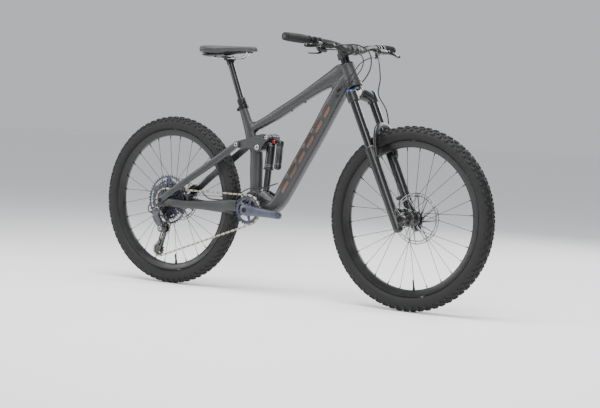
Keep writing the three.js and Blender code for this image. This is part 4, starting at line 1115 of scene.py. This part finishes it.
lathe(core, [(9.2, -72.8), (16.4, -72.8), (17, -73.2), (16.4, -74.2), (9.2, -74.2)], (0, 0, TYRE_RADIUS),
      ACROSS, 36, closed=True)
build("cassette_core", core, ANODISED, "cassette")

for number, (name, centre, pitch, teeth) in enumerate((("lower", LOWER_PULLEY, LOWER_PULLEY_PITCH, 14),
                                                       ("upper", UPPER_PULLEY, UPPER_PULLEY_PITCH, 12))):
    wheel = Shape()
    outlines = [toothed(centre, teeth, pitch, first_pin(2 + number), 4.0, 2.6)]
    for k in range(5):
        a = 2 * math.pi * k / 5
        outlines.append(circle(*polar(centre, 12.6, a), 3.4 if name == "lower" else 2.6, 14))
    plate(wheel, outlines, CHAIN_PLANE - 1.0, CHAIN_PLANE + 1.0, 0.25)
    lathe(wheel, [(3.6, -2.8), (8, -2.8), (8.6, -2.2), (8.6, 2.2), (8, 2.8), (3.6, 2.8)],
          (centre[0], CHAIN_PLANE, centre[1]), ACROSS, 30, closed=True)
    build(f"{name}_pulley_wheel", wheel, PLASTIC, f"{name}_pulley", (f"{name}_pulley",))

UPPER = np.array(UPPER_PULLEY)
LOWER = np.array(LOWER_PULLEY)
CAGE_DOWN = unit(LOWER - UPPER)
CAGE_SIDE = np.array([-CAGE_DOWN[1], CAGE_DOWN[0]])


def cage_outline(wide_top, wide_low):
    pts = []
    for a in range(0, 181, 20):
        r = math.radians(a)
        pts.append(UPPER + (CAGE_SIDE * math.cos(r) - CAGE_DOWN * math.sin(r)) * wide_top)
    for a in range(180, 361, 20):
        r = math.radians(a)
        pts.append(LOWER + (CAGE_SIDE * math.cos(r) - CAGE_DOWN * math.sin(r)) * wide_low)
    return pts


def cage_window(t0, t1, wide):
    length = np.linalg.norm(LOWER - UPPER)
    a, b = UPPER + CAGE_DOWN * length * t0, UPPER + CAGE_DOWN * length * t1
    return rounded([a - CAGE_SIDE * wide, b - CAGE_SIDE * wide * 0.7, b + CAGE_SIDE * wide * 0.7,
                    a + CAGE_SIDE * wide], 4)


cage = Shape()
plate(cage, [cage_outline(13, 12), cage_window(0.20, 0.80, 6.4)], -57.2, -54.8, 0.5)
plate(cage, [cage_outline(11.5, 11.5), cage_window(0.22, 0.78, 4.6)], -45.4, -43.4, 0.4)
for centre in (UPPER, LOWER):
    disc(cage, centre[0], centre[1], 3.2, -56, -44, 0.3, 16)
    disc(cage, centre[0], centre[1], 5.6, -43.8, -41.6, 0.5, 20)
bolt(cage, (LOWER[0], -57.0, LOWER[1]), (0, -1, 0), 5.4, 1.6)
build("derailleur_cage_plates", cage, MECH, "derailleur_cage", ("derailleur_cage",))

mech = Shape()
loft(mech, [(-7, -87.5, 325, 5.5, 13), (-15, -88, 311, 7.5, 16), (-23, -86, 296, 8.5, 17),
            (-19, -83, 280, 9, 17.5), (-9, -77, 261, 9.5, 17), (1, -71, 241, 10, 14)], sides=24, square=0.6)
block(mech, (-27, -90, 300), (16, 9, 34), tilted(8), 3)
block(mech, (-3, -82, 268), (13, 10, 30), tilted(28), 3)
disc(mech, -8, 318, 12.5, -92, -81.4, 1.5)
lathe(mech, [(15.5, -84), (16, -83), (16, -63), (17.5, -61), (17.5, -58.4), (15, -57.6)],
      (UPPER_PULLEY[0], 0, UPPER_PULLEY[1]), (0, 1, 0), 40)
plate(mech, [rounded([(-18, 310), (-20, 326), (-4, 334), (5, 327), (1, 308)], 4)], -84, -81.2, 0.5)
loft(mech, [(-33, -86, 306, 5, 7), (-42, -85, 302, 5, 7), (-47, -84, 298, 4, 5)], sides=16)
fused("derailleur_moulding", mech, metal_grain, 5, MECH, "chainstay", ("derailleur_body",))
mech_bolts = Shape()
bolt(mech_bolts, (-8, -91.5, 318), (0, -1, 0), 7.5, 2.2)
bolt(mech_bolts, (UPPER_PULLEY[0], -83.6, UPPER_PULLEY[1]), (0, -1, 0), 8.5, 1.6)
bolt(mech_bolts, (-30, -93.6, 290), (0, -1, 0), 3.4, 1.2)
bolt(mech_bolts, (-12, -85.2, 262), (0, -1, 0), 3.4, 1.4)
build("derailleur_bolts", mech_bolts, BRIGHT, "chainstay")

loop = Shape()
tube(loop, [(70, -78, 339), (48, -84, 334), (20, -92.5, 333), (-12, -97, 338), (-40, -97, 338),
            (-56, -94, 324), (-58, -91, 308), (-50, -89, 300)], 2.3, 12, 8)
rod(loop, (-51, -89, 301), (-41, -88, 299.5), 3.4, 0.5, 16)
rod(loop, (322, -60, 326), (366, -54, 321), 2.4, 0.5, 16)
build("derailleur_housing", loop, HOSE, "chainstay")

# ---------- fork ----------
crown = Shape()
loft(crown, placed(fork, both_sides([(514, 18, 84, 18, 12), (516, 18, 70, 20, 20), (523, 15, 48, 20, 23),
                                     (533, 8, 26, 18, 26), (541, 3, 12, 15, 28)])), side=tuple(STEER_UP),
     square=0.72)
for y in LEG_SIDES:
    rod(crown, fork(493, LEG_AHEAD, y), fork(535.5, LEG_AHEAD, y), 23.2, 2.5)
lathe(crown, [(30, 540), (30, 552), (27, 558), (27, 562)], fork(0, 0), STEER_UP, 40)
fused("fork_crown_forging", crown, fine, 8, FORK_BLACK, "steering", ("fork_crown_and_stanchions",))
legs = Shape()
for y in LEG_SIDES:
    lathe(legs, [(16.5, 128), (17.3, 129), (17.3, 500)], fork(0, LEG_AHEAD, y), STEER_UP, 56)
build("fork_stanchion_tubes", legs, STANCHION, "steering")
caps = Shape()
for y in LEG_SIDES:
    lathe(caps, [(19.6, 534), (19.6, 539), (18.4, 540.6), (13.5, 540.8), (13, 542), (8.4, 542), (8.2, 539.6),
                 (0.01, 539.4)], fork(0, LEG_AHEAD, y), STEER_UP, 40)
build("fork_top_caps", caps, BLUE, "steering")
column = Shape()
rod(column, fork(550, 0), fork(723, 0), 14.2, 0.5, 36)
build("steerer_column", column, ANODISED, "steering")

lowers = Shape()
for y in LEG_SIDES:
    lathe(lowers, [(12, -42), (16.8, -39), (19, -30), (19.6, 20), (20.2, 150), (21, 284), (21, 299)],
          fork(0, LEG_AHEAD, y), STEER_UP, 48)
    loft(lowers, placed(fork, [(52, 24, y, 9, 12), (24, 32, y, 11, 15), (-4, 38, y, 11, 14),
                               (-26, 34, y, 8, 10)]), sides=20)
    rod(lowers, fork(0, 44, y - 13), fork(0, 44, y + 13), 16.5, 2)
    loft(lowers, placed(fork, [(248, 24, y, 13, 12), (276, 32, y, 12, 15), (298, 41, y * 0.985, 9.5, 13)]),
         sides=20)
loft(lowers, placed(fork, both_sides([(262, 36, 70, 8, 12), (300, 44, 69, 8, 12.5), (330, 52, 64, 8, 12),
                                      (358, 59, 52, 8, 11.5), (374, 62, 34, 8, 11),
                                      (380, 62.5, 14, 8, 10.5)])), side=tuple(STEER_AHEAD), square=0.7)
# Two lugs behind the left leg that carry the caliper.
for up in (52, 104):
    loft(lowers, placed(fork, [(up, 6, 66, 5, 7), (up, -8, 58, 5, 7), (up, -16, 52, 5, 6)]), sides=16)
fused("fork_lower_casting", lowers, fine, 8, FORK_BLACK, "fork_lowers", ("fork_lowers",))
seals = Shape()
for y in LEG_SIDES:
    lathe(seals, [(17.6, 297), (21.6, 297), (22, 299.5), (21.2, 303), (20, 306), (19, 308), (17.6, 308)],
          fork(0, LEG_AHEAD, y), STEER_UP, 48, closed=True)
    bolt(seals, fork(-40.5, LEG_AHEAD, y), -STEER_UP, 8, 2.5)
build("fork_wiper_seals", seals, PLASTIC, "fork_lowers")
front_axle = Shape()
rod(front_axle, fork(0, 44, -83.8), fork(0, 44, 83.8), 7.4, 1, 32)
lathe(front_axle, [(12, -83.8), (12, -84.6), (9, -85.2), (8.6, -84), (0.01, -84)], fork(0, 44, 0), ACROSS, 32)
build("front_thru_axle", front_axle, ANODISED, "fork_lowers", ("front_axle",))


def caliper(name, centre, degrees, rotor_y, rotor_radius, body, node):
    a = math.radians(degrees)
    out = np.array([math.cos(a), 0, math.sin(a)])
    along = np.array([-math.sin(a), 0, math.cos(a)])
    foot = np.array([centre[0], rotor_y, centre[1]])
    axes = [along, (0, 1, 0), out]
    made = Shape()
    for side in (-1, 1):
        block(made, foot + out * (rotor_radius - 11) + np.array([0, side * 8.6, 0]), (38, 11.6, 25), axes,
              2.6)
        disc_at = foot + out * (rotor_radius - 11) + np.array([0, side * 13.6, 0])
        rod(made, disc_at, disc_at + np.array([0, side * 2.2, 0]), 10.5, 0.8, 32)
    block(made, foot + out * (rotor_radius + 5.4), (40, 27, 9), axes, 2.4)
    build(name, made, ANODISED, body, (node,))
    screws = Shape()
    for shift in (-13, 13):
        head_at = foot + along * shift + out * (rotor_radius - 2)
        bolt(screws, head_at + np.array([0, 14.0, 0]), ACROSS, 3.6, 2.4)
    build(name + "_screws", screws, BRIGHT, body)


caliper("front_caliper_body", FRONT_AXLE, 171, *FRONT_DISC, "fork_lowers", "front_caliper")
caliper("rear_caliper_body", (0, TYRE_RADIUS), 32, *REAR_DISC, "chainstay", "rear_caliper")

# ---------- cockpit ----------
STEM_HEIGHT, STEM_REACH = 705, 45.6
stem = Shape()
lathe(stem, [(17.4, 687.5), (18.6, 689), (18.6, 723), (17.6, 725.6)], fork(0, 0), STEER_UP, 40)
for y in (-17, 17):
    rod(stem, fork(STEM_HEIGHT, STEM_REACH, y - 6.5), fork(STEM_HEIGHT, STEM_REACH, y + 6.5), 19.8, 1.5, 40)
rod(stem, fork(STEM_HEIGHT, STEM_REACH - 1, -20), fork(STEM_HEIGHT, STEM_REACH - 1, 20), 17.6, 1, 40)
loft(stem, placed(fork, [(706, -2, 16, 14), (706, 14, 14, 12), (705.5, 30, 17, 12), (705, 42, 22, 14)]),
     sides=28)
loft(stem, placed(fork, [(706, -12, 12, 13), (706, -21, 9, 14), (706, -24, 8, 12)]), sides=20)
fused("stem_forging", stem, metal_grain, 5, BAR_BLACK, "steering", ("stem",))
stem_bits = Shape()
for up in (692, 718):
    for y in (-19, 19):
        bolt(stem_bits, fork(up, STEM_REACH + 14.4, y), STEER_AHEAD, 3.6, 3.4)
    side = -1 if up < 700 else 1
    bolt(stem_bits, fork(up + 1, -19, side * 10.5), (0, side, 0), 3.4, 2.4)
rod(stem_bits, fork(670.4, 0), fork(678.6, 0), 18.0, 0.8, 40)
rod(stem_bits, fork(678.8, 0), fork(687.4, 0), 18.0, 0.8, 40)
rod(stem_bits, fork(725, 0), fork(729.6, 0), 17.5, 1.2, 40)
bolt(stem_bits, fork(729, 0), STEER_UP, 4.2, 1.6)
build("stem_bolts_and_cap", stem_bits, ANODISED, "steering")

GRIP_INNER, GRIP_OUTER = 266, 388
CENTRE = fork(STEM_HEIGHT, STEM_REACH)
half_bar = [(CENTRE[0], 0, CENTRE[2], 15.9), (CENTRE[0], 30, CENTRE[2], 15.9),
            (CENTRE[0], 44, CENTRE[2], 15.9), (CENTRE[0] - 2, 62, CENTRE[2] + 1.5, 15.2),
            (871, 92, 1003, 13.6), (865.5, 130, 1010, 12.2), (*BAR_BEND, 11.1), (847, 244, 1015.8, 11.1),
            (*BAR_END, 11.1)]
bar = Shape()
points = [(x, -y, z) for x, y, z, _ in half_bar[:0:-1]] + [(x, y, z) for x, y, z, _ in half_bar]
radii = [r for _, _, _, r in half_bar[:0:-1]] + [r for _, _, _, r in half_bar]
tube(bar, points, radii, 36, 8)
build("riser_handlebar", bar, BAR_BLACK, "steering", ("handlebar",))

for side, name in SIDES:
    def on_this_side(y, ahead=0.0, up=0.0):
        return on_bar(side * y, ahead, up)

    sleeve = Shape()
    profile = []
    length = np.linalg.norm(on_bar(GRIP_OUTER) - on_bar(GRIP_INNER))
    steps = 45
    for k in range(steps + 1):
        t = k / steps
        rib = 1.6 if k % 2 else 0.0
        swell = 0.9 * math.sin(math.pi * t) ** 2
        profile.append((14.8 + swell + (rib if 0.12 < t < 0.93 else 0.4), length * t))
    profile = [(11.5, 0)] + profile + [(15.4, length + 0.8), (14, length + 1.8), (12, length + 1.8),
                                       (11.4, length + 0.4)]
    axis = on_this_side(GRIP_OUTER) - on_this_side(GRIP_INNER)
    lathe(sleeve, profile, on_this_side(GRIP_INNER), axis, 40)
    build(f"grip_sleeve_{name}", sleeve, RUBBER, "steering", (f"grip_{name}",), sharp=60)
    ring_clamp = Shape()
    lathe(ring_clamp, [(11.4, -7), (15.4, -7), (16.2, -6), (16.2, -0.8), (11.4, -0.8)],
          on_this_side(GRIP_INNER), axis, 40, closed=True)
    end_plug = on_this_side(GRIP_OUTER)
    lathe(ring_clamp, [(0.01, -6), (11.0, -6), (11.0, 1.6), (9.6, 2.2), (7.0, 2.2), (6.2, 0.8), (0.01, 0.6)],
          end_plug, axis, 32)
    build(f"grip_lock_ring_{name}", ring_clamp, ANODISED, "steering")

    brake = Shape()
    lathe(brake, [(11.4, 0), (14.6, 0), (15.2, 0.8), (15.2, 12.2), (14.6, 13), (11.4, 13)], on_this_side(226),
          axis, 40, closed=True)
    start, end = on_this_side(148, 26, -12), on_this_side(248, 34, -14)
    along = unit(end - start)
    lathe(brake, [(3.4, 0), (5.6, 1), (6, 8), (10, 15), (11.8, 24), (12.2, 66), (11.6, 78), (9.8, 88),
                  (8.4, 100)], start, along, 36)
    block(brake, on_this_side(205, 27, -8.5), (20, 46, 10), [(1, 0, 0.1), ACROSS, (-0.1, 0, 1)], 3)
    loft(brake, placed(on_this_side, [(232, 8, -5, 7, 7), (231, 20, -9, 6, 8), (229, 32, -13, 8, 9)]),
         side=(0, 1, 0), sides=20)
    loft(brake, placed(on_this_side, [(236, 33, -13, 8, 9), (248, 38, -14, 8, 8), (257, 41.5, -15, 7.5, 6)]),
         side=(0, 0, 1), sides=20)
    fused(f"brake_master_{name}", brake, small_grain, 4, ANODISED, "steering", (f"brake_body_{name}",))
    bits = Shape()
    bolt(bits, on_this_side(232, 14, -13), (0.2, 0, -1), 3.2, 2)
    for y in (187, 223):
        bolt(bits, on_this_side(y, 27, -3.8), (-0.1, 0, 1), 2.2, 1.2)
    pivot_at = on_this_side(252, 42, -15)
    rod(bits, pivot_at - np.array([0, 0, 9.5]), pivot_at + np.array([0, 0, 9.5]), 4.2, 0.6, 20)
    build(f"brake_pivot_{name}", bits, BRIGHT, "steering")

    blade = Shape()
    x, _, z = pivot_at
    loft(blade, [(x - 7, side * 249, z, 6, 5), (x + 4, side * 262, z - 1.5, 6.4, 5),
                 (*on_this_side(276, 53, -20), 6, 4.5), (*on_this_side(294, 56, -24.5), 6, 4.4),
                 (*on_this_side(312, 52.6, -27), 6, 4.2), (*on_this_side(330, 50, -28), 6, 4.4),
                 (*on_this_side(342, 53, -28), 5.6, 4), (*on_this_side(346, 56, -28), 4, 2.6)],
         side=(0, 0, 1), sides=24, square=0.8)
    build(f"brake_blade_{name}", blade, ANODISED, f"brake_lever_{name}", (f"brake_lever_{name}",), sharp=60)

shifter = Shape()
axis = unit(on_bar(-300) - on_bar(-200))
lathe(shifter, [(11.4, 0), (14.6, 0), (15.1, 0.8), (15.1, 10.4), (14.6, 11), (11.4, 11)], on_bar(-200), axis,
      36, closed=True)
loft(shifter, placed(on_bar, [(-205, 2, -10, 6, 6), (-205, 8, -20, 10, 9), (-205, 12, -29, 12, 14)]),
     sides=20)
loft(shifter, placed(on_bar, [(-205, -7, -23, 11, 6), (-205, 2, -26, 15, 9), (-205, 14, -30.5, 15, 9.5),
               (-205, 27, -35, 13, 8), (-205, 32, -37, 9, 5)]), sides=24, square=0.65)
fused("shifter_pod", shifter, small_grain, 4, PLASTIC, "steering", ("shifter_body",), slot="derailleur_black")
cover = Shape()
rod(cover, on_bar(-205, 4, -34.5), on_bar(-205, 2.6, -38), 9, 0.8, 28)
rod(cover, on_bar(-191, 14, -30), on_bar(-181, 15, -28.4), 4.4, 0.8, 20, 3.2)
build("shifter_cover_and_barrel", cover, ANODISED, "steering")
paddle = Shape()
loft(paddle, placed(on_bar, [(-203, 5, -43, 7, 3), (-214, 1, -46, 8, 3), (-226, -5, -47.2, 9, 2.6),
              (-238, -12, -48, 9, 2.5), (-244, -15, -48, 5, 2)]), side=(1, 0, 0), sides=24)
rod(paddle, on_bar(-204, 5, -38.2), on_bar(-204, 5, -45), 6.5, 0.8, 24)
build("shift_paddle_blade", paddle, ANODISED, "shift_paddle", ("shift_paddle",), sharp=60,
      slot="derailleur_black")

remote = Shape()
axis = unit(on_bar(300) - on_bar(200))
lathe(remote, [(11.4, 0), (14.4, 0), (14.9, 0.7), (14.9, 9.3), (14.4, 10), (11.4, 10)], on_bar(202), axis, 36,
      closed=True)
loft(remote, placed(on_bar, [(207, 2, -11, 5, 7), (207, 6, -22, 5.6, 10), (207, 8, -31, 5, 9)]), sides=20)
loft(remote, placed(on_bar, [(207, 8, -22, 5, 6), (200, 12, -22, 5, 5), (194, 14, -22, 3.5, 3.5)]),
     side=(1, 0, 0), sides=16)
fused("dropper_remote_body", remote, small_grain, 4, ANODISED, "steering", ("dropper_remote",))
thumb = Shape()
loft(thumb, placed(on_bar, [(203, 5, -35.6, 7, 3), (214, 2, -38.4, 7.4, 3), (228, -3, -39.4, 9.4, 2.6),
             (241, -7, -40, 10.4, 2.5), (248, -9, -40, 6, 2)]), side=(1, 0, 0), sides=24)
rod(thumb, on_bar(207, 6, -30.6), on_bar(207, 6, -37), 6, 0.8, 24)
build("dropper_thumb_lever", thumb, ANODISED, "dropper_lever", ("dropper_lever",), sharp=60)

# ---------- hoses and housings ----------
ROUTES = {"rear_brake_hose": ([(880, -146, 1001), (905, -110, 1008), (938, -60, 1010), (958, -10, 985),
                               (948, 22, 935), (915, 40, 890), (876, 40, 852), (842, 33.5, 826)], 2.5),
          "shift_housing": ([(873, -183, 985.4), (884, -170, 986), (905, -140, 986), (935, -85, 985),
                             (950, -45, 965), (945, -38, 925), (912, -41, 882), (872, -40, 845),
                             (838, -32.5, 820)], 2.2),
          "dropper_housing": ([(869, 196, 991), (878, 182, 982), (895, 150, 972), (925, 90, 968),
                               (945, 30, 968), (935, -30, 945), (908, -41, 905), (872, -40, 868),
                               (840, -32.5, 843)], 2.2)}


def metres(x, y, z):
    return Vector(((x + AXLE_X) * MM, y * MM, z * MM))


for name, (route, radius) in ROUTES.items():
    line = Shape()
    tube(line, route, radius, 14, 12)
    made = build(name + "_run", line, HOSE, None, (name,))
    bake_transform(made)
leg_route = [(520, 48, 78), (450, 50, 92), (380, 30, 100), (300, 10, 100), (200, -2, 97), (120, -10, 85),
             (72, -14, 52)]
line = Shape()
lever_route = [(880, 146, 1000), (907, 128, 994), (935, 100, 960), (955, 84, 890)]
tube(line, lever_route + [tuple(fork(u, a, y)) for u, a, y in leg_route], 2.5, 14, 12)
made = build("front_brake_hose_run", line, HOSE, None, ("front_brake_hose",))
top, low = fork(480, 0), fork(330, 0)
metres(*top)
metres(*low)
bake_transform(made)
line = Shape()
tube(line, [(562, -27, 456), (548, -33, 451), (520, -37, 440), (480, -39, 433), (440, -41, 430),
            (400, -41, 414), (366, -41, 383)], 2.5, 14, 12)
made = build("rear_brake_hose_lower_run", line, HOSE, None, ("rear_brake_hose_lower",))
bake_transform(made)
tail = Shape()
tube(tail, [(330, 58.6, 362), (270, 60.6, 368), (200, 66.4, 366), (140, 72.2, 367), (110, 71, 384),
            (95, 62, 404)], 2.5, 14, 10)
build("rear_brake_hose_tail", tail, HOSE, "chainstay")

# ---------- camera, floor and light ----------
CAMERA_DEGREES = (34.44, 2.95, 2.47)
CAMERA_AT = (3.38432, -4.83103, 0.68061)
LENS_MM = 87.73
scene = bpy.context.scene
yaw, pitch, roll = (math.radians(a) for a in CAMERA_DEGREES)
ahead = Vector((-math.sin(yaw) * math.cos(pitch), math.cos(yaw) * math.cos(pitch), -math.sin(pitch)))
right = Vector((math.cos(yaw), math.sin(yaw), 0))
above = right.cross(ahead)
right_rolled = right * math.cos(roll) + above * math.sin(roll)
above_rolled = above * math.cos(roll) - right * math.sin(roll)
lens = bpy.data.cameras.new("main_camera")
lens.lens = LENS_MM
lens.sensor_width = 36
lens.sensor_fit = "HORIZONTAL"
lens.clip_start = 0.05
camera = bpy.data.objects.new("main_camera", lens)
turn = Matrix((right_rolled, above_rolled, -ahead)).transposed().to_4x4()
turn.translation = Vector(CAMERA_AT)
camera.matrix_world = turn
scene.collection.objects.link(camera)
scene.camera = camera

floor_look = surface("studio_floor", grey(0.955), grey(0.975), 1.5, (0.75, 0.9), 0.0, 0.02, 60)
floor_mesh = bpy.data.meshes.new("studio_floor")
reach = 60
floor_mesh.from_pydata([(-reach, -reach, 0), (reach, -reach, 0), (reach, reach, 0), (-reach, reach, 0)], [],
                       [(0, 1, 2, 3)])
floor_mesh.materials.append(floor_look)
studio_floor = bpy.data.objects.new("studio_floor", floor_mesh)
scene.collection.objects.link(studio_floor)


def lamp(name, at, target, size, power, tint=(1, 1, 1)):
    light = bpy.data.lights.new(name, "AREA")
    light.shape = "RECTANGLE"
    light.size, light.size_y = size
    light.energy = power
    light.color = tint
    holder = bpy.data.objects.new(name, light)
    holder.location = at
    holder.rotation_euler = (Vector(target) - Vector(at)).to_track_quat("-Z", "Y").to_euler()
    scene.collection.objects.link(holder)


lamp("overhead_softbox", (0.2, -0.8, 3.4), (0, 0, 0.4), (3.2, 2.2), 210)
lamp("front_softbox", (2.6, -3.6, 2.4), (0.1, 0, 0.5), (1.6, 2.2), 90)
lamp("side_softbox", (-3.4, -2.4, 1.6), (-0.2, 0, 0.5), (1.2, 2.0), 60)
lamp("rear_softbox", (0.6, 3.6, 2.2), (0, 0, 0.5), (3.0, 1.6), 90)
world = bpy.data.worlds.new("studio_air")
world.use_nodes = True
world.node_tree.nodes["Background"].inputs["Color"].default_value = (0.93, 0.95, 1.0, 1)
world.node_tree.nodes["Background"].inputs["Strength"].default_value = 0.62
scene.world = world
